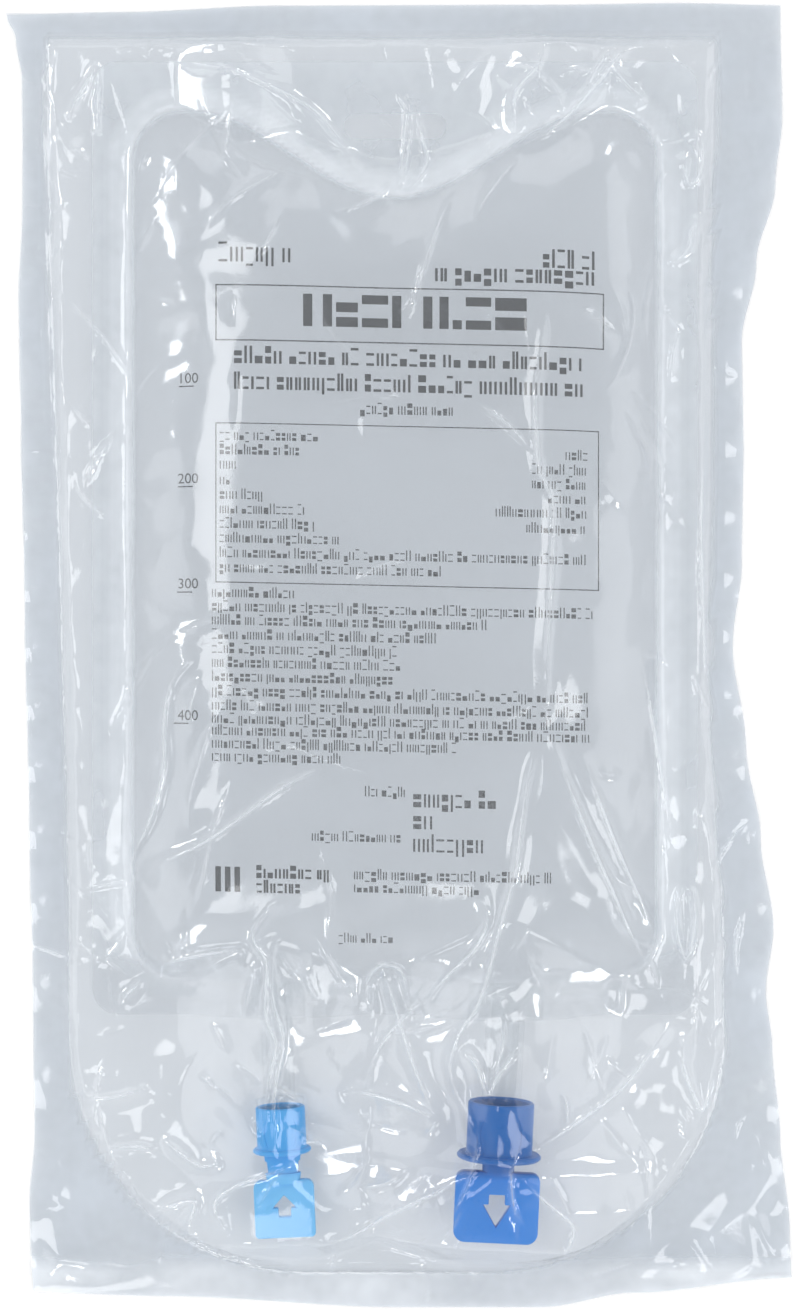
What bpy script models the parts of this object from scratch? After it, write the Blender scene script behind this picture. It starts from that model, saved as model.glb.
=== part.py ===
"""Soft bag of IV fluid, half filled, lying face up in its clear sealed overwrap.

Metres. X is the width, Y the length with the two ports towards -Y, and Z is up from the face that
the pouch rests on. The origin is under the middle of the pouch.
"""

import math
from types import SimpleNamespace

import bmesh
import bpy

# Films, fill and the air between neighbouring pieces
CLEARANCE = 0.0003
POUCH_GAUGE = 0.0002
BAG_GAUGE = 0.00025
FILL_VOLUME = 0.00025

# Inner bag and the welds round its chamber
BAG_WIDTH = 0.141
BAG_LENGTH = 0.222
BAG_CENTRE_X = -0.001
BAG_CORNER = 0.006
SIDE_WELD = 0.008
BOTTOM_WELD = 0.0077
TOP_WELD = 0.0102
CHAMBER_CORNER = 0.013
CORNER_LEAD = 0.001
HANGER_DIP = 0.020
HANGER_DIP_HALF_WIDTH = 0.048
PILLOW_EDGE = 0.035
PILLOW_CORNER = 0.004
HANGER_SLOT_WIDTH = 0.024
HANGER_SLOT_HEIGHT = 0.006

# Overwrap pouch round the bag
SIDE_MARGIN = 0.021
TOP_MARGIN = 0.0138
BOTTOM_MARGIN = 0.0173
TOP_SEAL = 0.0085
BOTTOM_SEAL = 0.0085
SEAL_BAND = 0.0075
ARCH_RADIUS = 0.055
RISE_RUN = 0.0022
SLACK = 0.0007
DRAPE_ROUNDING = 0.0015
PUCKER = 0.0011
PUCKER_REACH = 0.0084
PUCKER_PITCH = 0.017
PUCKER_DRIFT = 3
PUCKER_DRIFT_RATE = 31
LOOSE_CORNER = 0.0022
LOOSE_FADE = 0.008
LOOSE_WAVE = 0.4
LOOSE_RATE_X = 420
LOOSE_RATE_Y = 380

# Where the seal runs beside the bag: height up the pouch as a share, and room beside the bag
SEAL_ROOM_LEFT = ((0.0, 0.0050), (0.25, 0.0055), (1.0, 0.0105))
SEAL_ROOM_RIGHT = ((0.0, 0.0065), (0.25, 0.0060), (0.5, 0.0027), (0.75, 0.0032), (1.0, 0.0042))

# How far the wavy edges of the pouch stand in from its full size: share along the edge, distance
LEFT_EDGE = (
    (0.0, 0.0062), (0.08, 0.0053), (0.13, 0.0065), (0.25, 0.0061), (0.36, 0.0053),
    (0.54, 0.0042), (0.66, 0.0034), (0.77, 0.0028), (0.85, 0.0037), (0.94, 0.0036),
    (0.97, 0.0022), (1.0, 0.0),
)
RIGHT_EDGE = (
    (0.0, 0.0), (0.06, 0.0004), (0.13, 0.0026), (0.20, 0.0045), (0.243, 0.0060),
    (0.29, 0.0042), (0.36, 0.0072), (0.43, 0.0106), (0.507, 0.0137), (0.57, 0.0116),
    (0.66, 0.0112), (0.74, 0.0116), (0.80, 0.0082), (0.86, 0.0038), (0.91, 0.0022),
    (1.0, 0.0026),
)
TOP_EDGE = ((0.0, 0.0026), (0.15, 0.0021), (0.35, 0.0006), (0.7, 0.0004), (0.86, 0.0), (1.0, 0.0006))
BOTTOM_EDGE = ((0.0, 0.0037), (0.2, 0.0026), (0.5, 0.0), (0.68, 0.0), (0.8, 0.0034), (1.0, 0.0070))

# Ports. Lengths are measured outwards from the bottom edge of the bag
INJECTION = SimpleNamespace(
    name="injection_port",
    x=-0.0284,
    yaw=math.radians(2.6),
    tube_radius=0.0037,
    bore_radius=0.0026,
    collar_start=0.0187,
    collar_radius=0.0056,
    sleeve_start=0.0204,
    sleeve_end=0.0299,
    sleeve_radius=0.0057,
    sleeve_wall=0.0009,
    rib_angle=math.radians(40),
    rib_start=0.0222,
    flange_radius=0.0067,
    flange_thickness=0.0011,
    necks=((0.0044, 0.0020), (0.0037, 0.0028), (0.00415, 0.0016)),
    tab_width=0.0139,
    tab_length=0.0132,
    tab_thickness=0.0026,
    tab_top_corner=0.0018,
    tab_end_corner=0.0009,
    tab_bow=0.0003,
    arrow_width=0.0055,
    arrow_length=0.0051,
    arrow_head=0.0030,
    arrow_stem=0.0029,
    arrow_start=0.0034,
    arrow_points_out=False,
    cap_colour=(0.20, 0.52, 0.88, 1.0),
)
INFUSION = SimpleNamespace(
    name="infusion_port",
    x=0.0244,
    yaw=math.radians(-2.7),
    tube_radius=0.0045,
    bore_radius=0.0032,
    collar_start=None,
    collar_radius=None,
    sleeve_start=0.0189,
    sleeve_end=0.0307,
    sleeve_radius=0.0076,
    sleeve_wall=0.0011,
    rib_angle=math.radians(37),
    rib_start=0.0212,
    flange_radius=0.00965,
    flange_thickness=0.0013,
    necks=((0.0039, 0.0030),),
    tab_width=0.0194,
    tab_length=0.0161,
    tab_thickness=0.0030,
    tab_top_corner=0.0020,
    tab_end_corner=0.0024,
    tab_bow=0.0005,
    arrow_width=0.0064,
    arrow_length=0.0076,
    arrow_head=0.0053,
    arrow_stem=0.0037,
    arrow_start=0.0052,
    arrow_points_out=True,
    cap_colour=(0.05, 0.20, 0.60, 1.0),
)
PORTS = (INJECTION, INFUSION)

STOPPER_THICKNESS = 0.0035
TUBE_HEAD_LENGTH = 0.0050
NECK_FLATNESS = 0.55
NECK_TAPER = 0.93
TAB_EDGE_RADIUS = 0.0004
RIB_WIDTH = 0.0007
RIB_PROUD = 0.00045
WELD_BOAT_SPREAD = 2.2
WELD_LIFT_RUN = 0.015
TENT_SLOPE = 0.58
TENT_ROUNDING = 0.004
TENT_FOOT = 0.0066
TENT_LEDGE = 0.0012
TENT_BACK = 0.030
TENT_BACK_SHARE = 0.6
TENT_WELD_REACH = 1.6
TENT_SLEEVE_AIR = 1.6
LIFT_FADE = 0.4
SPREAD_FADE = 0.2

# Folds of the upper film: crest height, half width, and the crest's course as offsets from the
# middle of the pouch
FOLDS = (
    (0.0022, 0.0055, ((0.034, 0.083), (0.031, 0.058), (0.032, 0.042), (0.035, 0.035),
                      (0.0344, 0.0125), (0.034, 0.003), (0.0333, -0.0205))),
    (0.0026, 0.0055, ((0.0333, -0.0205), (0.0264, -0.049), (0.023, -0.0627), (0.0185, -0.0787),
                      (0.0128, -0.0878), (0.0116, -0.0946), (0.0144, -0.1026))),
    (0.0024, 0.006, ((0.0333, -0.0205), (0.0435, -0.0422), (0.0504, -0.0604), (0.0577, -0.0723))),
    (0.0026, 0.006, ((0.064, -0.0869), (0.0539, -0.0997), (0.049, -0.104), (0.042, -0.108),
                     (0.0313, -0.114))),
    (0.0028, 0.007, ((-0.0454, 0.0), (-0.0522, -0.0057), (-0.0538, -0.0148), (-0.0538, -0.0262),
                     (-0.058, -0.0399), (-0.0618, -0.0479))),
    (0.0024, 0.005, ((-0.033, -0.0655), (-0.030, -0.070), (-0.0304, -0.0815), (-0.0279, -0.0884),
                     (-0.0302, -0.0998))),
    (0.0020, 0.005, ((0.020, -0.057), (0.020, -0.0627), (0.0071, -0.0786))),
    (0.0026, 0.006, ((0.0021, 0.134), (-0.0002, 0.108))),
    (0.0026, 0.006, ((0.0488, 0.142), (0.0427, 0.1296), (0.0329, 0.1207))),
    (0.0022, 0.006, ((-0.024, -0.117), (-0.0383, -0.1235), (-0.0427, -0.1273), (-0.039, -0.135))),
    (0.0026, 0.006, ((0.0182, -0.1186), (-0.0065, -0.1336), (-0.0215, -0.1385))),
    (0.0022, 0.006, ((0.0283, -0.121), (0.0402, -0.132), (0.038, -0.141))),
    (0.0024, 0.006, ((0.0084, -0.1086), (0.0021, -0.0918), (-0.0035, -0.0738))),
    (0.0026, 0.006, ((-0.0705, 0.139), (-0.0695, 0.112))),
)

POUCH_COLUMNS = 26
POUCH_PORT_ROWS = 14
POUCH_BAG_ROWS = 30
FOLD_FADE = 0.006
LOFT_STEPS = (0.0, 0.04, 0.14, 0.32, 0.6, 1.0)
FLUID_STEPS = LOFT_STEPS[1:]
LOOP_SIDE_POINTS = 7
LOOP_TOP_POINTS = 9
LOOP_CORNER_POINTS = 3
TURN_STEPS = 24

# Places that follow from the sizes above
PORT_REACH = max(
    p.sleeve_end + p.flange_thickness + sum(length for _, length in p.necks) + p.tab_length
    for p in PORTS
)
POUCH_WIDTH = BAG_WIDTH + 2 * SIDE_MARGIN
POUCH_LENGTH = TOP_MARGIN + BAG_LENGTH + PORT_REACH + BOTTOM_MARGIN
BAG_TOP = POUCH_LENGTH / 2 - TOP_MARGIN
BAG_BOTTOM = BAG_TOP - BAG_LENGTH
SEAL_TOP = POUCH_LENGTH / 2 - TOP_SEAL
SEAL_BOTTOM = -POUCH_LENGTH / 2 + BOTTOM_SEAL
ARCH_CENTRE_Y = SEAL_BOTTOM + ARCH_RADIUS
SEAL_LEVEL = POUCH_GAUGE + CLEARANCE
SEAM_LEVEL = SEAL_LEVEL + BAG_GAUGE + CLEARANCE / 2
WELD_TOP = SEAM_LEVEL + CLEARANCE / 2 + BAG_GAUGE


def smooth(t):
    t = min(max(t, 0.0), 1.0)
    return t * t * (3 - 2 * t)


def hump(t):
    """1 at 0, falling smoothly to 0 at 1 and at -1."""
    return math.cos(t * math.pi / 2) ** 2 if abs(t) < 1 else 0.0


def along(stations, t):
    """Value at t on a smooth line through (position, value) stations, which never overshoots."""
    for (a, start), (b, end) in zip(stations, stations[1:]):
        if t <= b:
            return start + (end - start) * smooth((t - a) / (b - a))
    return stations[-1][1]


def straight(stations, t):
    """Value at t on straight lines through (position, value) stations."""
    if t <= stations[0][0]:
        return stations[0][1]
    for (a, start), (b, end) in zip(stations, stations[1:]):
        if t <= b:
            return start + (end - start) * (t - a) / (b - a)
    return stations[-1][1]


def material(name, colour, roughness, transmission=0.0):
    made = bpy.data.materials.new(name)
    made.use_nodes = True
    made.diffuse_color = colour
    shader = made.node_tree.nodes["Principled BSDF"]
    shader.inputs["Base Color"].default_value = colour
    shader.inputs["Roughness"].default_value = roughness
    shader.inputs["Metallic"].default_value = 0.0
    shader.inputs["Transmission Weight"].default_value = transmission
    shader.inputs["Alpha"].default_value = colour[3]
    return made


def add_object(name, bm, finish=None, parent=None):
    """Link the mesh as a named object, shaded smooth apart from its sharp edges."""
    bmesh.ops.recalc_face_normals(bm, faces=bm.faces)
    mesh = bpy.data.meshes.new(name)
    bm.to_mesh(mesh)
    bm.free()
    mesh.shade_smooth()
    mesh.set_sharp_from_angle(angle=math.radians(32))
    made = bpy.data.objects.new(name, mesh)
    bpy.context.scene.collection.objects.link(made)
    if finish:
        mesh.materials.append(finish)
    made.parent = parent
    return made


def combine(target, tool, operation):
    """Join or cut the target with a hidden tool."""
    tool.hide_render = True
    tool.display_type = "WIRE"
    modifier = target.modifiers.new(tool.name, "BOOLEAN")
    modifier.operation = operation
    modifier.solver = "EXACT"
    modifier.object = tool


def prism(points, axis_start, axis_end, place):
    """Closed prism of an outline, where place turns (u, v, w) into a point."""
    bm = bmesh.new()
    ends = [[bm.verts.new(place(u, v, w)) for u, v in points] for w in (axis_start, axis_end)]
    for ring in ends:
        bm.faces.new(ring)
    for i in range(len(points)):
        j = (i + 1) % len(points)
        bm.faces.new((ends[0][i], ends[0][j], ends[1][j], ends[1][i]))
    return bm


def turned(profile):
    """Solid turned round Z from (radius, z) points that start and end on the axis."""
    bm = bmesh.new()
    corners = [bm.verts.new((radius, 0.0, z)) for radius, z in profile]
    edges = [bm.edges.new(pair) for pair in zip(corners, corners[1:])]
    bmesh.ops.spin(
        bm, geom=corners + edges, cent=(0, 0, 0), axis=(0, 0, 1),
        angle=2 * math.pi, steps=TURN_STEPS, use_duplicate=False,
    )
    bmesh.ops.remove_doubles(bm, verts=bm.verts, dist=1e-6)
    return bm


# Pillow of the filled chamber


def pillow(depth_share):
    """Share of the full height of the pillow, from 0 at the weld to 1 at its flat middle."""
    return 1 - (1 - min(max(depth_share, 0.0), 1.0)) ** 2.5


def weld_lift(x):
    """Height by which the bottom weld is carried up to each port's tube."""
    lift = 0.0
    for port in PORTS:
        beside = max(abs(x - port.x) - WELD_BOAT_SPREAD * port.tube_radius, 0.0)
        lift = max(lift, (axis_height(port) - SEAM_LEVEL) * hump(beside / WELD_LIFT_RUN))
    return lift


def weld_spread(x):
    """Half opening of the bottom weld round each port's tube."""
    opening = 0.0
    for port in PORTS:
        half_width = WELD_BOAT_SPREAD * port.tube_radius
        share = 1 - ((x - port.x) / half_width) ** 2
        opening = max(opening, (port.tube_radius + CLEARANCE + SLACK) * share)
    return opening


def axis_height(port):
    """The flange of each port stands on the lower film."""
    return POUCH_GAUGE + CLEARANCE + port.flange_radius


def bottom_stations():
    """Positions across the bottom weld, close together round the ports."""
    places = []
    for port in PORTS:
        boat = WELD_BOAT_SPREAD * port.tube_radius
        for away in (0.5 * boat, boat, boat + 0.45 * WELD_LIFT_RUN, boat + WELD_LIFT_RUN):
            places += [port.x - away, port.x + away]
        places.append(port.x)
    reach = BAG_WIDTH / 2 - SIDE_WELD - CHAMBER_CORNER - CORNER_LEAD
    return sorted(min(max(x, BAG_CENTRE_X - reach), BAG_CENTRE_X + reach) for x in places)


def bag_loop(half_width, bottom, top, corner, spread=1.0, dip=0.0):
    """Closed outline as (x, y, weld position), with as many points whatever its size."""
    points = []
    middle = BAG_CENTRE_X

    def arc(cx, cy, start):
        for i in range(LOOP_CORNER_POINTS + 1):
            angle = start + i * math.pi / 2 / LOOP_CORNER_POINTS
            points.append((cx + corner * math.cos(angle), cy + corner * math.sin(angle), None))

    for x in bottom_stations():
        points.append((middle + (x - middle) * spread, bottom, x))
    arc(middle + half_width - corner, bottom + corner, -math.pi / 2)
    for i in range(1, LOOP_SIDE_POINTS + 1):
        share = i / (LOOP_SIDE_POINTS + 1)
        points.append((middle + half_width, bottom + corner + (top - bottom - 2 * corner) * share, None))
    arc(middle + half_width - corner, top - corner, 0.0)
    for i in range(1, LOOP_TOP_POINTS + 1):
        x = (half_width - corner) * (1 - 2 * i / (LOOP_TOP_POINTS + 1))
        dipped = dip * hump(x / HANGER_DIP_HALF_WIDTH)
        points.append((middle + x, top - dipped, None))
    arc(middle - half_width + corner, top - corner, math.pi / 2)
    for i in range(1, LOOP_SIDE_POINTS + 1):
        share = 1 - i / (LOOP_SIDE_POINTS + 1)
        points.append((middle - half_width, bottom + corner + (top - bottom - 2 * corner) * share, None))
    arc(middle - half_width + corner, bottom + corner, math.pi)
    return points


def bag_loops():
    """Edge of the bag, edge of its chamber, and the edge of the pillow's flat middle."""
    half = BAG_WIDTH / 2
    low, high = BAG_BOTTOM + BOTTOM_WELD, BAG_TOP - TOP_WELD
    inner = half - SIDE_WELD
    core = inner - PILLOW_EDGE
    core_corner = min(PILLOW_CORNER, core / 3)
    spread = (core - core_corner) / (inner - CHAMBER_CORNER)
    core_dip = max(HANGER_DIP - TOP_WELD, 0.0)
    return (
        bag_loop(half, BAG_BOTTOM, BAG_TOP, BAG_CORNER),
        bag_loop(inner, low, high, CHAMBER_CORNER, dip=HANGER_DIP),
        bag_loop(core, low + PILLOW_EDGE, high - PILLOW_EDGE, core_corner, spread, core_dip),
    )


EDGE_LOOP, CHAMBER_LOOP, CORE_LOOP = bag_loops()


def chamber_point(index, step):
    """Place in the chamber, a share of the way in from its weld to its flat middle."""
    (ax, ay, _), (bx, by, _) = CHAMBER_LOOP[index], CORE_LOOP[index]
    return ax + (bx - ax) * step, ay + (by - ay) * step


def loop_area(points):
    following = points[1:] + points[:1]
    return abs(sum(a[0] * b[1] - b[0] * a[1] for a, b in zip(points, following))) / 2


def film_levels(index, step, pillow_height):
    """Upper face of the back film and lower face of the front film, as (low, high).

    A step of None is the outer edge of the bag.
    """
    x = EDGE_LOOP[index][2]
    lift = spread = 0.0
    if x is not None:
        inwards = step or 0.0
        lift = weld_lift(x) * (1 - smooth(inwards / LIFT_FADE))
        spread = weld_spread(x) * (1 - smooth(inwards / SPREAD_FADE))
    height = pillow_height * pillow(step) if step else 0.0
    low = SEAM_LEVEL - CLEARANCE / 2 + lift - spread
    high = SEAM_LEVEL + CLEARANCE / 2 + max(height, lift + spread + height / 2)
    return low, high


def fluid_volume(pillow_height):
    """Volume between the films, less the air left against each."""
    count = len(EDGE_LOOP)

    def depth(i, step):
        low, high = film_levels(i, step, pillow_height)
        return high - low - 2 * CLEARANCE

    held = 0.0
    for outer, inner in zip(FLUID_STEPS, FLUID_STEPS[1:]):
        for i in range(count):
            j = (i + 1) % count
            corners = [(i, outer), (j, outer), (j, inner), (i, inner)]
            area = loop_area([chamber_point(*corner) for corner in corners])
            held += area * sum(depth(*corner) for corner in corners) / 4
    core = loop_area([chamber_point(i, 1.0) for i in range(count)])
    return held + core * depth(0, 1.0)


def pillow_for(volume):
    """Height of the pillow that holds a volume of fluid."""
    height = volume / loop_area([point[:2] for point in CHAMBER_LOOP])
    for _ in range(12):
        height *= volume / fluid_volume(height)
    return height


PILLOW_HEIGHT = pillow_for(FILL_VOLUME)


def layered(name, steps, faces_of, finish, with_edge):
    """Closed solid between two lofted faces. faces_of turns film levels into its own (low, high)."""
    bm = bmesh.new()
    below, above = [], []
    for step in ([None] if with_edge else []) + list(steps):
        lower, upper = [], []
        for i in range(len(EDGE_LOOP)):
            x, y = EDGE_LOOP[i][:2] if step is None else chamber_point(i, step)
            low, high = faces_of(*film_levels(i, step, PILLOW_HEIGHT))
            lower.append(bm.verts.new((x, y, low)))
            upper.append(bm.verts.new((x, y, high)))
        below.append(lower)
        above.append(upper)
    count = len(EDGE_LOOP)
    for rings in (below, above):
        for outer, inner in zip(rings, rings[1:]):
            for i in range(count):
                j = (i + 1) % count
                bm.faces.new((outer[i], outer[j], inner[j], inner[i]))
        bm.faces.new(rings[-1])
    for i in range(count):
        j = (i + 1) % count
        bm.faces.new((below[0][i], below[0][j], above[0][j], above[0][i]))
    return add_object(name, bm, finish)


def hanger_slot():
    """Cutter of the round-ended hanging slot through both films of the top weld."""
    radius = HANGER_SLOT_HEIGHT / 2
    reach = HANGER_SLOT_WIDTH / 2 - radius
    middle = BAG_TOP - (TOP_WELD + HANGER_DIP) / 2
    outline = []
    for side, start in ((1, -90), (-1, 90)):
        for i in range(9):
            angle = math.radians(start + i * 22.5)
            outline.append((BAG_CENTRE_X + side * reach + radius * math.cos(angle),
                            middle + radius * math.sin(angle)))
    bm = prism(outline, 0.0, WELD_TOP + PILLOW_HEIGHT, lambda u, v, w: (u, v, w))
    return add_object("hanger_slot_cutter", bm)


def make_bag():
    film = material("bag_film", (0.80, 0.84, 0.88, 0.35), 0.15, 0.8)
    fluid = material("saline", (0.85, 0.90, 0.94, 0.4), 0.02, 0.9)
    slot = hanger_slot()
    back = layered("bag_back_film", LOFT_STEPS, lambda low, high: (low - BAG_GAUGE, low), film, True)
    front = layered("bag_front_film", LOFT_STEPS, lambda low, high: (high, high + BAG_GAUGE), film, True)
    for sheet in (back, front):
        combine(sheet, slot, "DIFFERENCE")
    layered("saline_fill", FLUID_STEPS, lambda low, high: (low + CLEARANCE, high - CLEARANCE), fluid, False)


# Overwrap pouch


def pouch_share(y):
    return y / POUCH_LENGTH + 0.5


def pouch_sides(y):
    """Outer left and right edge at a height."""
    share = pouch_share(y)
    return -POUCH_WIDTH / 2 + along(LEFT_EDGE, share), POUCH_WIDTH / 2 - along(RIGHT_EDGE, share)


def seal_sides(y):
    """Inner edge of the left and right seal at a height."""
    share = pouch_share(y)
    left = BAG_CENTRE_X - BAG_WIDTH / 2 - along(SEAL_ROOM_LEFT, share)
    right = BAG_CENTRE_X + BAG_WIDTH / 2 + along(SEAL_ROOM_RIGHT, share)
    return left, right


def seal_depth(x, y):
    """Distance in from the inner edge of the seal, negative in the seal and past it."""
    left, right = seal_sides(y)
    depth = min(x - left, right - x, SEAL_TOP - y, y - SEAL_BOTTOM)
    arch_left, arch_right = seal_sides(ARCH_CENTRE_Y)
    below = ARCH_CENTRE_Y - y
    for beside in (arch_left + ARCH_RADIUS - x, x - arch_right + ARCH_RADIUS):
        if beside > 0 and below > 0:
            depth = min(depth, ARCH_RADIUS - math.hypot(beside, below))
    return depth


def chamber_depth(x, y):
    """Distance in from the edge of the chamber, taken as a rectangle with round corners."""
    half_width = BAG_WIDTH / 2 - SIDE_WELD
    low, high = BAG_BOTTOM + BOTTOM_WELD, BAG_TOP - TOP_WELD
    u = abs(x - BAG_CENTRE_X) - half_width + CHAMBER_CORNER
    v = abs(y - (low + high) / 2) - (high - low) / 2 + CHAMBER_CORNER
    return CHAMBER_CORNER - min(max(u, v), 0.0) - math.hypot(max(u, 0.0), max(v, 0.0))


def port_tent(port, x, y):
    """Height of the upper film where it hangs over one port."""
    dx, dy = x - port.x, y - BAG_BOTTOM
    out = dx * math.sin(port.yaw) - dy * math.cos(port.yaw)
    beside = abs(dx * math.cos(port.yaw) + dy * math.sin(port.yaw))
    axis = axis_height(port)
    over = CLEARANCE + SLACK
    flange_start = port.sleeve_end
    tab_start, tab_end = tab_span(port)
    boat_top = axis + port.tube_radius + 2 * over + BAG_GAUGE
    tab_top = axis + port.tab_thickness / 2 + 2 * over
    ridge = straight((
        (-TENT_BACK, PILLOW_HEIGHT * TENT_BACK_SHARE),
        (-TENT_WELD_REACH * BOTTOM_WELD, boat_top),
        (0.0, boat_top),
        (port.sleeve_start, axis + port.sleeve_radius + RIB_PROUD + TENT_SLEEVE_AIR * over),
        (flange_start, axis + port.flange_radius + over),
        (flange_start + port.flange_thickness, axis + port.flange_radius + over),
        (tab_end + TENT_LEDGE, tab_top),
        (tab_end + TENT_LEDGE + TENT_FOOT, SEAL_LEVEL),
    ), out)
    tab_middle = (tab_start + tab_end) / 2
    flat = straight(((tab_start, 0.0), (tab_middle, port.tab_width / 2)), out)
    past = max(beside - flat, 0.0)
    return ridge - TENT_SLOPE * (math.hypot(past, TENT_ROUNDING) - TENT_ROUNDING)


def fold_height(x, y):
    """Height that the folds add to the upper film."""
    best = 0.0
    for height, half_width, course in FOLDS:
        for (ax, ay), (bx, by) in zip(course, course[1:]):
            ux, uy = bx - ax, by - ay
            share = ((x - ax) * ux + (y - ay) * uy) / (ux * ux + uy * uy)
            share = min(max(share, 0.0), 1.0)
            distance = math.hypot(x - ax - ux * share, y - ay - uy * share)
            best = max(best, height * (1 - distance / half_width))
    return best


def pucker_height(x, y, depth):
    """Ripples along the outer edge, and the loose film in the corners past the arched seal."""
    left, right = pouch_sides(y)
    from_edge = min(x - left, right - x)
    to_edge = smooth(1 - from_edge / (PUCKER_REACH))
    drift = PUCKER_DRIFT * math.sin(y * PUCKER_DRIFT_RATE)
    ripple = 0.5 + 0.5 * math.sin(y * 2 * math.pi / PUCKER_PITCH + drift)
    lift = PUCKER * ripple * to_edge * smooth(-depth / SEAL_BAND)
    past_seal = -depth - SEAL_BAND
    if past_seal > 0 and y < ARCH_CENTRE_Y:
        from_bottom = y + POUCH_LENGTH / 2 - BOTTOM_EDGE[0][1]
        held = smooth(min(from_edge, from_bottom) / LOOSE_FADE)
        wave = 1 - LOOSE_WAVE + LOOSE_WAVE * math.sin(x * LOOSE_RATE_X) * math.sin(y * LOOSE_RATE_Y)
        lift += LOOSE_CORNER * smooth(past_seal / LOOSE_FADE) * held * wave
    return lift


def upper_film_level(x, y):
    """Lower face of the upper film."""
    depth = seal_depth(x, y)
    if depth <= 0:
        return SEAL_LEVEL + pucker_height(x, y, depth)
    bag = WELD_TOP + CLEARANCE + SLACK + PILLOW_HEIGHT * pillow(chamber_depth(x, y) / PILLOW_EDGE)
    tent = max(port_tent(port, x, y) for port in PORTS)
    over = (bag + tent + math.hypot(bag - tent, DRAPE_ROUNDING)) / 2
    rise = min(depth / RISE_RUN, 1.0)
    folds = fold_height(x, y) * smooth(depth / FOLD_FADE)
    return SEAL_LEVEL + (over - SEAL_LEVEL) * rise + folds


def spaced(start, end, count):
    return [start + (end - start) * i / count for i in range(count + 1)]


def pouch_columns(y):
    """Places across the pouch: its edges, the edges of the seals, and even steps between."""
    left, right = pouch_sides(y)
    seal_left, seal_right = seal_sides(y)
    inner = spaced(seal_left + RISE_RUN, seal_right - RISE_RUN, POUCH_COLUMNS)
    return [left, (left + seal_left) / 2, seal_left, *inner, seal_right, (right + seal_right) / 2, right]


def make_pouch():
    film = material("overwrap_film", (0.82, 0.86, 0.90, 0.25), 0.12, 0.85)
    half = POUCH_LENGTH / 2
    port_rows = spaced(SEAL_BOTTOM, BAG_BOTTOM, POUCH_PORT_ROWS)
    bag_rows = spaced(BAG_BOTTOM, SEAL_TOP - RISE_RUN, POUCH_BAG_ROWS)
    rows = [-half, *port_rows, *bag_rows[1:], SEAL_TOP, half]
    bm = bmesh.new()
    below, above = [], []
    for y in rows:
        lower, upper = [], []
        for x in pouch_columns(y):
            across = x / POUCH_WIDTH + 0.5
            top_share = smooth((y - SEAL_TOP) / TOP_SEAL) * along(TOP_EDGE, across)
            bottom_share = smooth((SEAL_BOTTOM - y) / BOTTOM_SEAL) * along(BOTTOM_EDGE, across)
            placed_y = y - top_share + bottom_share
            level = upper_film_level(x, placed_y)
            lower.append(bm.verts.new((x, placed_y, level)))
            upper.append(bm.verts.new((x, placed_y, level + POUCH_GAUGE)))
        below.append(lower)
        above.append(upper)
    for rows_of in (below, above):
        for near, far in zip(rows_of, rows_of[1:]):
            for i in range(len(near) - 1):
                bm.faces.new((near[i], near[i + 1], far[i + 1], far[i]))
    rim_low = edge_of(below)
    rim_high = edge_of(above)
    for i in range(len(rim_low)):
        j = (i + 1) % len(rim_low)
        bm.faces.new((rim_low[i], rim_low[j], rim_high[j], rim_high[i]))
    outline = [(corner.co.x, corner.co.y) for corner in rim_low]
    add_object("overwrap_front_film", bm, film)
    sheet = prism(outline, 0.0, POUCH_GAUGE, lambda u, v, w: (u, v, w))
    add_object("overwrap_back_film", sheet, film)


def edge_of(rows_of):
    """Corners round the edge of a grid, in order."""
    right = [row[-1] for row in rows_of[1:-1]]
    left = [row[0] for row in rows_of[-2:0:-1]]
    return rows_of[0] + right + rows_of[-1][::-1] + left


# Ports. Each is built along +Z from the edge of the bag, with its width along X


def port_axis(port):
    axis = bpy.data.objects.new(port.name + "_axis", None)
    axis.location = (port.x, BAG_BOTTOM, axis_height(port))
    axis.rotation_euler = (math.pi / 2, 0.0, port.yaw)
    bpy.context.scene.collection.objects.link(axis)
    return axis


def tab_span(port):
    start = port.sleeve_end + port.flange_thickness + sum(length for _, length in port.necks)
    return start, start + port.tab_length


def stopper_start(port):
    return port.sleeve_end - CLEARANCE - STOPPER_THICKNESS


def make_tube(port, axis):
    """Clear tube with its boat-shaped weld foot, its head under the stopper and a bore."""
    clear = material(port.name + "_clear", (0.85, 0.89, 0.92, 0.5), 0.1, 0.7)
    root = -BOTTOM_WELD
    head_end = stopper_start(port) - CLEARANCE
    head_radius = port.sleeve_radius - port.sleeve_wall - CLEARANCE
    head_start = head_end - TUBE_HEAD_LENGTH
    profile = [(0.0, root), (port.tube_radius, root)]
    if port.collar_start:
        collar_end = port.sleeve_start - CLEARANCE
        profile += [
            (port.tube_radius, port.collar_start),
            (port.collar_radius, port.collar_start),
            (port.collar_radius, collar_end),
            (port.tube_radius, collar_end),
        ]
    profile += [
        (port.tube_radius, head_start),
        (head_radius, head_start),
        (head_radius, head_end),
        (0.0, head_end),
    ]
    tube = add_object(port.name + "_tube", turned(profile), clear, axis)
    combine(tube, weld_boat(port, axis), "UNION")
    bore = turned([
        (0.0, root - CLEARANCE), (port.bore_radius, root - CLEARANCE),
        (port.bore_radius, head_end + CLEARANCE), (0.0, head_end + CLEARANCE),
    ])
    combine(tube, add_object(port.name + "_bore_cutter", bore, parent=axis), "DIFFERENCE")


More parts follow.
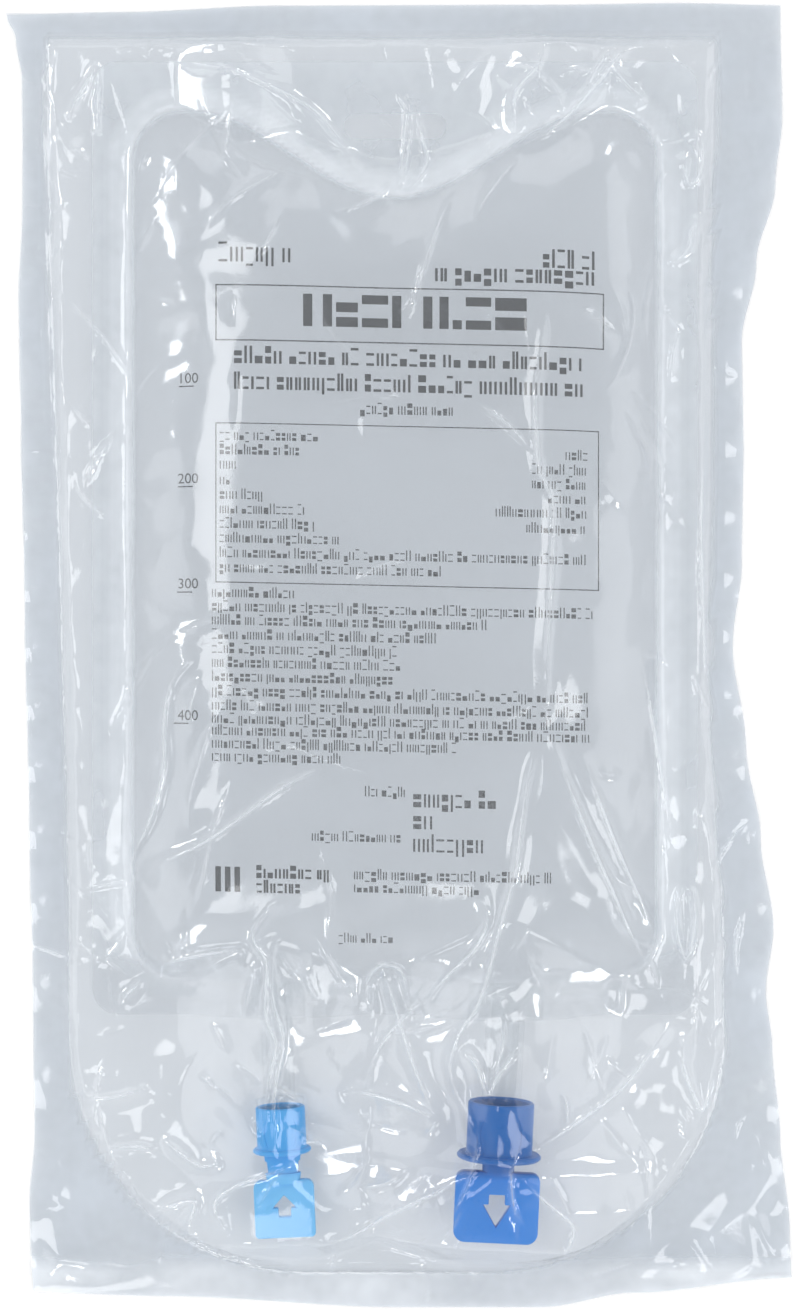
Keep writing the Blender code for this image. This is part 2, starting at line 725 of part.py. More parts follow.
def weld_boat(port, axis):
    """Thin pointed foot that the bag films are welded to."""
    half_width = WELD_BOAT_SPREAD * port.tube_radius - 2 * CLEARANCE - SLACK
    thick = port.tube_radius - CLEARANCE
    outline = []
    for side in (1, -1):
        for i in range(8):
            u = side * (1 - i / 4)
            outline.append((u * half_width, side * thick * (1 - u * u)))
    bm = prism(outline, -BOTTOM_WELD, -CLEARANCE, lambda u, v, w: (u, v, w))
    return add_object(port.name + "_boat", bm, parent=axis)


def make_stopper(port, axis):
    rubber = material(port.name + "_rubber", (0.55, 0.56, 0.58, 1.0), 0.6)
    start = stopper_start(port)
    end = start + STOPPER_THICKNESS
    radius = port.sleeve_radius - port.sleeve_wall - CLEARANCE
    waist = 0.15 * STOPPER_THICKNESS
    profile = [
        (0.0, start), (radius - waist, start), (radius, start + waist),
        (radius, end - waist), (radius - waist, end), (0.0, end),
    ]
    add_object(port.name + "_stopper", turned(profile), rubber, axis)


def rounded_tab(port):
    """Outline of the break-off tab as (across, along)."""
    start, end = tab_span(port)
    half = port.tab_width / 2
    outline = []
    corners = (
        (1, start, port.tab_top_corner, -90), (1, end, -port.tab_end_corner, 0),
        (-1, end, -port.tab_end_corner, 90), (-1, start, port.tab_top_corner, 180),
    )
    for side, edge, inset, first in corners:
        radius = abs(inset)
        for i in range(6):
            angle = math.radians(first + i * 18)
            u = side * (half - radius) + radius * math.cos(angle)
            v = edge + inset + radius * math.sin(angle)
            outline.append((u, v))
    bowed = []
    for u, v in outline:
        share = (v - start) / (end - start)
        bowed.append((u, v + port.tab_bow * share * (1 - (u / half) ** 2)))
    return bowed


def arrow_outline(port):
    """Arrow as (across, along), pointing out from the bag or back towards it."""
    stem, wing = port.arrow_stem / 2, port.arrow_width / 2
    shape = [(0.0, 0.0), (wing, port.arrow_head), (stem, port.arrow_head), (stem, port.arrow_length)]
    shape += [(-u, v) for u, v in shape[:0:-1]]
    top = tab_span(port)[0] + port.arrow_start
    if port.arrow_points_out:
        return [(u, top + port.arrow_length - v) for u, v in shape]
    return [(u, top + v) for u, v in shape]


def make_necks(port, axis):
    """Flat-sided frangible neck, one tapering length after another."""
    start = port.sleeve_end + port.flange_thickness / 2
    profile = [(0.0, start)]
    at = port.sleeve_end + port.flange_thickness
    for radius, length in port.necks:
        profile += [(radius, at if len(profile) > 1 else start), (radius * NECK_TAPER, at + length)]
        at += length
    profile.append((profile[-1][0], at + 2 * TAB_EDGE_RADIUS))
    profile.append((0.0, at + 2 * TAB_EDGE_RADIUS))
    bm = turned(profile)
    bmesh.ops.scale(bm, vec=(1.0, NECK_FLATNESS, 1.0), verts=bm.verts)
    return add_object(port.name + "_neck", bm, parent=axis)


def make_ribs(port, axis):
    """Grip ribs along the sleeve, in pairs either side of its upper and lower face."""
    bm = bmesh.new()
    end = port.sleeve_end - RIB_WIDTH
    angles = [side * port.rib_angle + turn for turn in (math.pi / 2, -math.pi / 2) for side in (1, -1)]
    for angle in angles:
        middle = port.sleeve_radius - RIB_WIDTH / 2 + RIB_PROUD / 2
        depth = RIB_WIDTH + RIB_PROUD
        made = bmesh.ops.create_cube(bm, size=1.0)["verts"]
        bmesh.ops.scale(bm, vec=(depth, RIB_WIDTH, end - port.rib_start), verts=made)
        bmesh.ops.translate(bm, vec=(middle, 0.0, (end + port.rib_start) / 2), verts=made)
        turn = (math.cos(angle), math.sin(angle))
        for corner in made:
            x, y = corner.co.x, corner.co.y
            corner.co.x = x * turn[0] - y * turn[1]
            corner.co.y = x * turn[1] + y * turn[0]
    return add_object(port.name + "_ribs", bm, parent=axis)


def make_cap(port, axis):
    """Coloured moulding: sleeve over the tube, flange, frangible neck and break-off tab."""
    plastic = material(port.name + "_colour", port.cap_colour, 0.35)
    inner = port.sleeve_radius - port.sleeve_wall
    lip = port.sleeve_wall / 3
    flange_end = port.sleeve_end + port.flange_thickness
    flange_edge = port.flange_thickness / 4
    profile = [
        (0.0, port.sleeve_end), (inner, port.sleeve_end),
        (inner, port.sleeve_start + lip), (inner + lip, port.sleeve_start),
        (port.sleeve_radius - lip, port.sleeve_start), (port.sleeve_radius, port.sleeve_start + lip),
        (port.sleeve_radius, port.sleeve_end),
        (port.flange_radius - flange_edge, port.sleeve_end),
        (port.flange_radius, port.sleeve_end + flange_edge),
        (port.flange_radius, flange_end - flange_edge),
        (port.flange_radius - flange_edge, flange_end),
        (0.0, flange_end),
    ]
    cap = add_object(port.name + "_cap", turned(profile), plastic, axis)
    half = port.tab_thickness / 2
    tab = add_object(
        port.name + "_tab", prism(rounded_tab(port), -half, half, lambda u, v, w: (u, w, v)), parent=axis
    )
    bevel = tab.modifiers.new("edge", "BEVEL")
    bevel.width = TAB_EDGE_RADIUS
    bevel.segments = 2
    bevel.limit_method = "ANGLE"
    bevel.angle_limit = math.radians(50)
    arrow = prism(
        arrow_outline(port), -port.tab_thickness, port.tab_thickness, lambda u, v, w: (u, w, v)
    )
    combine(tab, add_object(port.name + "_arrow_cutter", arrow, parent=axis), "DIFFERENCE")
    combine(cap, make_ribs(port, axis), "UNION")
    combine(cap, make_necks(port, axis), "UNION")
    combine(cap, tab, "UNION")


def main():
    for old in list(bpy.data.objects):
        bpy.data.objects.remove(old, do_unlink=True)
    make_pouch()
    make_bag()
    for port in PORTS:
        axis = port_axis(port)
        make_tube(port, axis)
        make_stopper(port, axis)
        make_cap(port, axis)


main()
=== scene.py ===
"""Looks of the IV fluid bag: creased clear films, welds, print, fluid and moulded ports."""

import math
import random
from types import SimpleNamespace

import bmesh
import bpy
import numpy as np
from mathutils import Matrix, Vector, geometry


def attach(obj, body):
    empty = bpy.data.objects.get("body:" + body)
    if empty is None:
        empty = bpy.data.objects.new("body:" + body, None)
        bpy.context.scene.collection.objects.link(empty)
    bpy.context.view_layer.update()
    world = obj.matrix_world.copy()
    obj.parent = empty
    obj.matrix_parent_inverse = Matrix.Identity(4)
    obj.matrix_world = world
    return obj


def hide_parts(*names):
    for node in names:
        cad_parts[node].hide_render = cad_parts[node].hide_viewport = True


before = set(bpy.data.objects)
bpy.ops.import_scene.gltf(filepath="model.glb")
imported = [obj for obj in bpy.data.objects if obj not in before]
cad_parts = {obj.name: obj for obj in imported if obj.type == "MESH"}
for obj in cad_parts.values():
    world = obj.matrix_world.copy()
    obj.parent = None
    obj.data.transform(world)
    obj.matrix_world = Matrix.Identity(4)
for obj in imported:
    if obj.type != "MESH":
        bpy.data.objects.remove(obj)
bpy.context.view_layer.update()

# Every size below is in millimetres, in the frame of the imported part
MM = 0.001

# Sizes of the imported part
CLEARANCE = 0.3
POUCH_GAUGE = 0.2
BAG_GAUGE = 0.25
BAG_WIDTH = 141.0
BAG_CENTRE_X = -1.0
BAG_CORNER = 6.0
SIDE_WELD = 8.0
BOTTOM_WELD = 7.7
TOP_WELD = 10.2
CHAMBER_CORNER = 13.0
HANGER_DIP = 20.0
HANGER_DIP_HALF_WIDTH = 48.0
PILLOW_EDGE = 35.0
PILLOW_HEIGHT = 13.95
POUCH_WIDTH = 183.0
POUCH_LENGTH = 304.2
BAG_TOP = 138.3
BAG_BOTTOM = -83.7
TOP_SEAL = 8.5
BOTTOM_SEAL = 8.5
SEAL_BAND = 7.5
ARCH_RADIUS = 55.0
SEAL_TOP = POUCH_LENGTH / 2 - TOP_SEAL
SEAL_BOTTOM = -POUCH_LENGTH / 2 + BOTTOM_SEAL
ARCH_CENTRE_Y = SEAL_BOTTOM + ARCH_RADIUS
SEAM_LEVEL = 0.9
SEAL_ROOM_LEFT = ((0.0, 5.0), (0.25, 5.5), (1.0, 10.5))
SEAL_ROOM_RIGHT = ((0.0, 6.5), (0.25, 6.0), (0.5, 2.7), (0.75, 3.2), (1.0, 4.2))
LEFT_EDGE = (
    (0.0, 6.2), (0.08, 5.3), (0.13, 6.5), (0.25, 6.1), (0.36, 5.3), (0.54, 4.2),
    (0.66, 3.4), (0.77, 2.8), (0.85, 3.7), (0.94, 3.6), (0.97, 2.2), (1.0, 0.0),
)
RIGHT_EDGE = (
    (0.0, 0.0), (0.06, 0.4), (0.13, 2.6), (0.20, 4.5), (0.243, 6.0), (0.29, 4.2),
    (0.36, 7.2), (0.43, 10.6), (0.507, 13.7), (0.57, 11.6), (0.66, 11.2), (0.74, 11.6),
    (0.80, 8.2), (0.86, 3.8), (0.91, 2.2), (1.0, 2.6),
)
TOP_EDGE = ((0.0, 2.6), (0.15, 2.1), (0.35, 0.6), (0.7, 0.4), (0.86, 0.0), (1.0, 0.6))
BOTTOM_EDGE = ((0.0, 3.7), (0.2, 2.6), (0.5, 0.0), (0.68, 0.0), (0.8, 3.4), (1.0, 7.0))

INJECTION = SimpleNamespace(
    name="injection_port", x=-28.4, yaw=math.radians(2.6),
    tube_radius=3.7, bore_radius=2.6, collar_start=18.7, collar_radius=5.6,
    sleeve_start=20.4, sleeve_end=29.9, sleeve_radius=5.7, sleeve_wall=0.9,
    rib_angle=math.radians(40), rib_start=22.2, flange_radius=6.7, flange_thickness=1.1,
    necks=((4.4, 2.0), (3.7, 2.8), (4.15, 1.6)),
    tab_width=13.9, tab_length=13.2, tab_thickness=2.6, tab_top_corner=1.8,
    tab_end_corner=0.9, tab_bow=0.3,
    arrow_width=5.5, arrow_length=5.1, arrow_head=3.0, arrow_stem=2.9, arrow_start=3.4,
    arrow_points_out=False, slot="cap_light_blue",
)
INFUSION = SimpleNamespace(
    name="infusion_port", x=24.4, yaw=math.radians(-2.7),
    tube_radius=4.5, bore_radius=3.2, collar_start=None, collar_radius=None,
    sleeve_start=18.9, sleeve_end=30.7, sleeve_radius=7.6, sleeve_wall=1.1,
    rib_angle=math.radians(37), rib_start=21.2, flange_radius=9.65, flange_thickness=1.3,
    necks=((3.9, 3.0),),
    tab_width=19.4, tab_length=16.1, tab_thickness=3.0, tab_top_corner=2.0,
    tab_end_corner=2.4, tab_bow=0.5,
    arrow_width=6.4, arrow_length=7.6, arrow_head=5.3, arrow_stem=3.7, arrow_start=5.2,
    arrow_points_out=True, slot="cap_dark_blue",
)
PORTS = (INJECTION, INFUSION)
STOPPER_THICKNESS = 3.5
TUBE_HEAD_LENGTH = 5.0
NECK_FLATNESS = 0.55
NECK_TAPER = 0.93
RIB_WIDTH = 0.9
RIB_PROUD = 0.45
# Section of a rib: share of its width across, share of its height
RIB_SECTION = ((-0.7, -0.3), (-0.42, 0.45), (-0.15, 0.75), (0.15, 0.75), (0.42, 0.45), (0.7, -0.3))
WELD_BOAT_SPREAD = 2.2
WELD_LIFT_RUN = 15.0
HANGER_SLOT_WIDTH = 24.0
HANGER_SLOT_HEIGHT = 6.0

# Lie of the films
FILM_GAP = 0.3
SHEET_LEVEL = 0.06
BAG_SHEET_GAP = 0.1
DRAPE_DIP = 12.0
DRAPE_GAP = 1.2
DRAPE_JOIN = 1.5
DRAPE_CLEAR = 0.45
SEAL_LEVEL = 0.45
SEAL_RISE = 2.2
TENT_SLEEVE_AIR = 1.6
TENT_WELD_REACH = 1.6
TENT_BACK_SHARE = 0.6
TENT_BACK_REACH = 30.0
TENT_PAST_TAB = 1.2
TENT_FOOT_RUN = 6.6
TENT_SLOPE = 0.58
TENT_ROUNDING = 4.0
TENT_LOWEST = 0.9

# Crushing, creases and puckers of the upper film
CRUSH_HEIGHT = 0.95
CRINKLE_HEIGHT = 0.26
VEIL_HEIGHT = 1.7
SWELL_HEIGHT = 0.3
CREASE_SCALE = 1.25
PUCKER_HEIGHT = 1.3
PUCKER_REACH = 8.4
PUCKER_PITCH = 17.0
PUCKER_DRIFT = 3.0
PUCKER_DRIFT_RATE = 0.031
LOOSE_FADE = 8.0
LOOSE_HEIGHT = 1.9
LOOSE_CRUSH = 1.8
LOOSE_BOTTOM = 3.7
CREST_HEIGHT = 0.55
CREST_SHARE = 0.5
CREST_REACH = 0.8

# Creases of the upper film: height, width of the left and right flank, then x and y of each point
CREASE_ROWS = (
    (0.9, 3.0, 4.0, 33.9, 83.2, 32.3, 71.8, 31.0, 58.1, 31.4, 49.0, 32.1, 42.2, 35.1, 35.3, 34.8,
     21.7, 34.4, 12.5, 33.9, 3.4, 33.5, -10.2, 33.2, -20.5),
    (0.9, 3.5, 3.0, 33.3, -14.8, 29.9, -26.2, 28.0, -37.6, 26.4, -49.0, 23.0, -62.7, 18.5, -78.7,
     14.3, -85.6, 12.1, -91.3, 11.8, -95.8, 14.3, -102.7, 18.5, -112.9),
    (0.8, 3.0, 4.0, 33.3, -14.8, 36.8, -25.1, 43.6, -42.3, 48.7, -53.7, 53.2, -64.0, 58.5, -73.1,
     61.5, -81.1),
    (0.9, 2.0, 2.0, 66.4, -51.7, 68.5, -57.5, 68.5, -64.4, 66.9, -70.6, 64.8, -65.5, 64.4, -58.6,
     66.4, -51.7),
    (1.3, 4.0, 5.0, 63.8, -84.5, 58.9, -91.0, 53.2, -98.3, 48.3, -102.5, 41.4, -106.6, 35.4, -109.8,
     27.8, -114.0),
    (0.9, 2.0, 3.0, 66.6, -87.4, 65.7, -93.7, 67.3, -99.5, 70.5, -105.7, 72.4, -100.6, 72.9, -96.0),
    (1.0, 2.0, 9.0, -44.5, 1.2, -50.0, -3.0, -52.7, -8.0, -53.9, -14.8, -53.9, -23.9, -55.3, -31.9,
     -58.0, -39.9, -61.0, -45.6, -62.1, -49.5, -60.7, -52.7, -58.4, -51.8),
    (0.9, 2.5, 9.0, -58.4, -51.8, -53.4, -47.2, -45.4, -43.3, -36.3, -37.2, -28.3, -31.2, -20.3,
     -27.1, -12.4, -25.1),
    (0.8, 2.2, 1.2, -22.7, -55.0, -28.2, -57.3, -32.4, -61.9, -33.3, -65.3, -31.4, -68.1, -30.1,
     -71.1, -30.5, -81.4, -29.1, -86.0, -28.0, -89.4, -29.6, -96.3, -30.3, -102.0, -30.1, -111.2),
    (0.7, 1.2, 2.2, -26.2, -64.2, -28.9, -67.6, -28.7, -79.1, -26.4, -87.1, -27.5, -95.1, -28.5,
     -102.0, -28.0, -113.5),
    (0.8, 2.5, 2.5, 16.2, -53.7, 19.4, -57.1, 20.1, -61.7, 17.3, -67.4, 11.6, -73.1, 7.5, -78.4, 5.9,
     -83.4),
    (1.2, 4.0, 3.0, -4.4, -70.1, -1.6, -79.3, 2.0, -90.4, 5.3, -98.9, 9.4, -106.5),
    (1.1, 3.0, 4.5, -13.6, -100.2, -6.2, -101.6, 2.0, -103.4, 6.6, -105.2, 9.4, -107.1),
    (1.1, 3.0, 4.0, -22.9, -116.0, -31.7, -119.4, -37.9, -122.2, -42.3, -125.9, -41.2, -130.1, -38.1,
     -134.7),
    (1.2, 4.0, 4.0, 19.6, -116.5, 9.4, -122.0, -1.0, -128.0, -6.5, -131.9, -13.6, -134.9, -21.7,
     -137.0),
    (1.1, 3.5, 4.0, 26.8, -118.5, 32.5, -123.6, 39.7, -130.7, 38.5, -136.3, 36.5, -142.5),
    (1.2, 3.5, 3.0, 56.0, 142.8, 50.5, 138.4, 46.3, 133.1, 42.2, 128.0, 37.6, 123.0, 32.0, 118.8,
     24.4, 116.0),
    (1.0, 2.0, 2.0, 50.3, 142.3, 46.3, 136.8, 43.6, 131.7, 40.6, 127.6),
    (1.0, 2.0, 2.0, 53.3, 142.3, 48.6, 135.9, 44.5, 129.2),
    (0.9, 2.5, 2.5, 33.2, 142.6, 33.0, 138.6, 31.4, 134.7, 28.4, 131.9, 26.8, 128.2, 27.2, 120.1),
    (0.9, 1.2, 1.2, 2.0, 131.3, 2.0, 126.5, 1.1, 118.4, 0.4, 112.7, -0.3, 106.3),
    (0.9, 1.2, 1.6, 4.3, 127.2, 3.0, 123.0, 2.0, 116.1, 0.4, 106.9),
    (0.9, 1.6, 2.0, 4.3, 127.2, 5.0, 121.9, 6.6, 116.1, 5.9, 112.7, 4.1, 109.7, 0.4, 106.5),
    (1.1, 2.0, 2.5, -69.9, 138.1, -69.7, 133.1, -70.1, 127.3, -69.9, 120.3),
    (1.0, 2.5, 2.5, -70.0, 138.4, -72.6, 133.3, -75.3, 128.6, -76.7, 124.5),
    (1.3, 4.0, 3.0, -52.8, 138.9, -45.9, 136.6, -36.7, 134.3, -25.1, 129.7, -18.2, 125.1, -10.9,
     116.3, -4.4, 111.3),
    (1.2, 2.5, 5.0, -57.0, -72.5, -51.3, -70.3, -44.4, -68.7, -34.6, -67.1),
    (0.9, 2.0, 2.0, -7.1, -81.8, -7.6, -76.8, -5.5, -72.7, -2.1, -71.7, 0.9, -74.0, 2.5, -81.8),
    (1.0, 3.0, 3.0, 13.5, -90.2, 17.4, -93.0, 20.2, -101.2),
    (1.0, 3.0, 4.0, 20.2, -101.2, 22.5, -95.3, 27.8, -88.8),
    (1.2, 2.5, 4.5, -74.9, -100.9, -69.1, -102.8, -59.9, -100.9, -58.5, -99.1),
    (1.0, 2.0, 3.0, -68.2, -114.7, -62.4, -114.2, -56.1, -114.9),
    (1.1, 3.0, 3.0, -55.3, -112.2, -51.2, -115.0, -46.1, -118.0, -40.3, -116.8),
    (1.1, 2.5, 3.5, -58.7, -129.1, -53.1, -127.7, -47.3, -126.3, -48.5, -131.4, -48.9, -135.5),
    (0.8, 3.0, 3.0, 69.0, 122.7, 70.4, 118.1, 69.9, 112.3, 67.6, 109.4, 66.5, 113.5, 67.1, 118.1),
    (1.0, 2.5, 2.5, 71.0, 102.8, 68.0, 98.9, 66.9, 94.3, 62.7, 90.4),
    (0.8, 2.0, 5.0, 71.7, 58.5, 70.8, 47.0, 70.1, 31.0, 70.6, 12.6, 71.3, -5.7, 72.6, -19.5),
    (0.9, 3.0, 3.0, 81.1, -57.5, 79.3, -63.2, 78.4, -69.0, 78.8, -77.0),
    (1.0, 3.5, 4.5, 48.2, 142.8, 49.1, 137.3, 52.8, 132.7, 57.9, 128.0),
    (0.8, 4.0, 6.0, 55.2, 3.5, 58.7, -14.9, 61.6, -33.2, 63.5, -47.0),
    (0.8, 3.0, 5.0, 40.8, -20.6, 45.7, -33.3, 51.2, -47.1, 57.1, -59.7, 60.8, -70.0),
)
CREASES = [(height, left, right, tuple(zip(course[::2], course[1::2])))
           for height, left, right, *course in CREASE_ROWS]


# Numbers


def smooth(t):
    t = np.clip(t, 0.0, 1.0)
    return t * t * (3 - 2 * t)


def hump(t):
    return np.where(np.abs(t) < 1, np.cos(np.clip(t, -1, 1) * math.pi / 2) ** 2, 0.0)


def along(stations, t):
    """Value at t on a smooth line through (position, value) stations."""
    places = np.array([s[0] for s in stations])
    values = np.array([s[1] for s in stations])
    t = np.asarray(t, float)
    i = np.clip(np.searchsorted(places, t) - 1, 0, len(places) - 2)
    share = smooth((t - places[i]) / (places[i + 1] - places[i]))
    return values[i] + (values[i + 1] - values[i]) * share


def curved(points, steps=6):
    """Points of a smooth curve through the given ones."""
    p = np.array(points, float)
    ends = np.vstack([2 * p[0] - p[1], p, 2 * p[-1] - p[-2]])
    made = []
    for i in range(len(p) - 1):
        a, b, c, d = ends[i:i + 4]
        for t in np.arange(steps) / steps:
            made.append(0.5 * (2 * b + (c - a) * t + (2 * a - 5 * b + 4 * c - d) * t ** 2
                               + (3 * b - a - 3 * c + d) * t ** 3))
    made.append(p[-1])
    return np.array(made)


def nearest(points, x, y):
    """Signed distance to a line of points, positive on its right, and the share along it."""
    best = np.full(x.shape, 1e9)
    side = np.ones(x.shape)
    place = np.zeros(x.shape)
    lengths = np.hypot(*np.diff(points, axis=0).T)
    starts = np.concatenate([[0], np.cumsum(lengths)])
    for (a, b), length, start in zip(zip(points, points[1:]), lengths, starts):
        ux, uy = b - a
        dx, dy = x - a[0], y - a[1]
        t = np.clip((dx * ux + dy * uy) / max(length ** 2, 1e-9), 0, 1)
        distance = np.hypot(dx - ux * t, dy - uy * t)
        closer = distance < best
        best = np.where(closer, distance, best)
        side = np.where(closer, np.sign(dx * uy - dy * ux), side)
        place = np.where(closer, (start + t * length) / starts[-1], place)
    return best * side, place


# A square lattice of heights that every film's shape is drawn on

CELL = 0.5
LOW_X, LOW_Y, HIGH_X, HIGH_Y = -96.0, -156.0, 96.0, 156.0
lattice_x = np.arange(LOW_X, HIGH_X + CELL, CELL)
lattice_y = np.arange(LOW_Y, HIGH_Y + CELL, CELL)
GRID_X, GRID_Y = np.meshgrid(lattice_x, lattice_y)
EVEN = np.ones(GRID_X.shape)


def sample(field, x, y):
    """Value of a lattice field at any place."""
    u = np.clip((np.asarray(x, float) - LOW_X) / CELL, 0, len(lattice_x) - 1.001)
    v = np.clip((np.asarray(y, float) - LOW_Y) / CELL, 0, len(lattice_y) - 1.001)
    i, j = u.astype(int), v.astype(int)
    s, t = u - i, v - j
    return ((field[j, i] * (1 - s) + field[j, i + 1] * s) * (1 - t)
            + (field[j + 1, i] * (1 - s) + field[j + 1, i + 1] * s) * t)


def blurred(field, radius):
    """The field blurred by a bell curve of that radius."""
    reach = max(int(3 * radius / CELL), 1)
    kernel = np.exp(-0.5 * (np.arange(-reach, reach + 1) * CELL / radius) ** 2)
    kernel /= kernel.sum()
    for axis in (0, 1):
        padded = np.concatenate([np.take(field, [0] * reach, axis), field,
                                 np.take(field, [-1] * reach, axis)], axis)
        out = np.zeros_like(field)
        for k, weight in enumerate(kernel):
            out += weight * np.take(padded, np.arange(k, k + field.shape[axis]), axis)
        field = out
    return field


def window(low_x, low_y, high_x, high_y):
    """Slices of the lattice over a box."""
    i = np.clip([int((low_x - LOW_X) / CELL), int((high_x - LOW_X) / CELL) + 2], 0, len(lattice_x))
    j = np.clip([int((low_y - LOW_Y) / CELL), int((high_y - LOW_Y) / CELL) + 2], 0, len(lattice_y))
    return slice(j[0], j[1]), slice(i[0], i[1])


def ridges(lines, sharpness=1.4, fade=0.12):
    """Heights of sharp-crested creases with a flank either side."""
    field = np.zeros(GRID_X.shape)
    for height, left, right, course in lines:
        points = curved(course)
        reach = max(left, right)
        at = window(*(points.min(0) - reach), *(points.max(0) + reach))
        away, share = nearest(points, GRID_X[at], GRID_Y[at])
        width = np.where(away < 0, left, right)
        flank = np.clip(1 - np.abs(away) / width, 0, 1) ** sharpness
        taper = smooth(np.minimum(share, 1 - share) / fade + 0.1)
        field[at] = np.maximum(field[at], height * flank * taper)
    return field


def facets(spacing, seed, strength):
    """Flat facets between random points, as in film that was crushed and smoothed out."""
    draw = np.random.default_rng(seed)
    points, heights = [], []
    for y in np.arange(LOW_Y - spacing, HIGH_Y + 2 * spacing, spacing):
        for x in np.arange(LOW_X - spacing, HIGH_X + 2 * spacing, spacing):
            px = x + draw.uniform(-0.45, 0.45) * spacing
            py = y + draw.uniform(-0.45, 0.45) * spacing
            points.append(Vector((px, py)))
            heights.append(draw.uniform(-1, 1) * float(sample(strength, px, py)))
    corners, _, faces, _, _, _ = geometry.delaunay_2d_cdt(points, [], [], 0, 1e-5)
    field = np.zeros(GRID_X.shape)
    known = {(round(p.x, 3), round(p.y, 3)): h for p, h in zip(points, heights)}
    level = [known[(round(c.x, 3), round(c.y, 3))] for c in corners]
    for face in faces:
        (ax, ay), (bx, by), (cx, cy) = [corners[i][:2] for i in face]
        at = window(min(ax, bx, cx), min(ay, by, cy), max(ax, bx, cx), max(ay, by, cy))
        x, y = GRID_X[at], GRID_Y[at]
        if not x.size:
            continue
        area = (bx - ax) * (cy - ay) - (cx - ax) * (by - ay)
        wb = ((x - ax) * (cy - ay) - (cx - ax) * (y - ay)) / area
        wc = ((bx - ax) * (y - ay) - (x - ax) * (by - ay)) / area
        inside = (wb >= -1e-6) & (wc >= -1e-6) & (wb + wc <= 1 + 1e-6)
        height = level[face[0]] * (1 - wb - wc) + level[face[1]] * wb + level[face[2]] * wc
        field[at] = np.where(inside, height, field[at])
    return field


def scattered(seed, count, weight, length, height, direction):
    """Short creases strewn about, most where the weight is greatest."""
    draw = np.random.default_rng(seed)
    made = []
    while len(made) < count:
        x, y = draw.uniform(-88, 88), draw.uniform(-148, 148)
        if draw.uniform() > float(sample(weight, x, y)):
            continue
        angle = float(sample(direction, x, y)) + draw.normal(0, 0.55)
        bend = draw.normal(0, 0.35)
        reach = draw.choice((0.4, 0.6, 0.9, 1.3, 2.0)) * length
        course = [(x, y)]
        for _ in range(4):
            angle += bend * 0.5 + draw.normal(0, 0.12)
            x, y = x + math.cos(angle) * reach / 4, y + math.sin(angle) * reach / 4
            course.append((x, y))
        size = draw.uniform(0.35, 1.1)
        made.append((height * size, draw.uniform(0.8, 2.0), draw.uniform(2.0, 5.0), tuple(course)))
    return made


def waves(seed, length, count=14):
    """Slow swells of about that length, between about -1 and 1."""
    draw = np.random.default_rng(seed)
    field = np.zeros(GRID_X.shape)
    for _ in range(count):
        angle, phase = draw.uniform(0, math.pi), draw.uniform(0, 2 * math.pi)
        pitch = length * draw.uniform(0.7, 1.6)
        run = GRID_X * math.cos(angle) + GRID_Y * math.sin(angle)
        field += np.sin(run * 2 * math.pi / pitch + phase)
    return field / math.sqrt(count)


# Shape of the bag


def axis_height(port):
    return POUCH_GAUGE + CLEARANCE + port.flange_radius


def chamber_depth(dip):
    """Distance in from the edge of the chamber, with that dip under the hanging slot."""
    half = BAG_WIDTH / 2 - SIDE_WELD
    low, high = BAG_BOTTOM + BOTTOM_WELD, BAG_TOP - TOP_WELD
    across = GRID_X - BAG_CENTRE_X
    dipped = high - dip * hump(across / HANGER_DIP_HALF_WIDTH)
    left_right = half - np.abs(across)
    down = dipped - GRID_Y
    up = GRID_Y - low
    vertical = np.minimum(down, up)
    u, v = CHAMBER_CORNER - left_right, CHAMBER_CORNER - vertical
    corner = CHAMBER_CORNER - np.hypot(np.maximum(u, 0), np.maximum(v, 0))
    inner = np.minimum(left_right, vertical)
    return np.where((u > 0) & (v > 0), corner, inner)


def pillow(depth):
    """Share of the pillow's full height, from 0 at the weld to 1 at its flat middle."""
    return np.where(depth > 0, 1 - (1 - np.clip(blurred(depth, 2.0) / PILLOW_EDGE, 0, 1)) ** 2.5, 0.0)


DEPTH = chamber_depth(HANGER_DIP)


def weld_shapes():
    """Lift of the bottom weld to the tubes, and its half opening round them."""
    lift = np.zeros(GRID_X.shape)
    spread = np.zeros(GRID_X.shape)
    for port in PORTS:
        boat = WELD_BOAT_SPREAD * port.tube_radius
        beside = np.maximum(np.abs(GRID_X - port.x) - boat, 0)
        lift = np.maximum(lift, (axis_height(port) - SEAM_LEVEL) * hump(beside / WELD_LIFT_RUN))
        share = 1 - ((GRID_X - port.x) / boat) ** 2
        spread = np.maximum(spread, (port.tube_radius + CLEARANCE + 0.7) * share)
    inwards = np.clip((GRID_Y - BAG_BOTTOM - BOTTOM_WELD) / PILLOW_EDGE, 0, 1)
    return lift * (1 - smooth(inwards / 0.4)), spread * (1 - smooth(inwards / 0.2))


LIFT, SPREAD = weld_shapes()
chamber_wrinkles = 0.35 * waves(31, 16) * smooth(DEPTH / 6) * smooth(1 - DEPTH / 40)
pillow_height = PILLOW_HEIGHT * pillow(DEPTH)
BAG_LOW = SEAM_LEVEL - BAG_SHEET_GAP + LIFT - SPREAD
seam_top = SEAM_LEVEL + BAG_SHEET_GAP
BAG_HIGH = seam_top + np.maximum(pillow_height, LIFT + SPREAD + pillow_height / 2)
BAG_HIGH = np.maximum(blurred(BAG_HIGH, 0.8), seam_top) + np.where(DEPTH > 0, chamber_wrinkles, 0)
DRAPED_WRINKLES = np.where(DEPTH > 0, np.maximum(chamber_wrinkles, 0), 0)


# Shape of the pouch


def pouch_sides(y):
    share = np.asarray(y) / POUCH_LENGTH + 0.5
    return -POUCH_WIDTH / 2 + along(LEFT_EDGE, share), POUCH_WIDTH / 2 - along(RIGHT_EDGE, share)


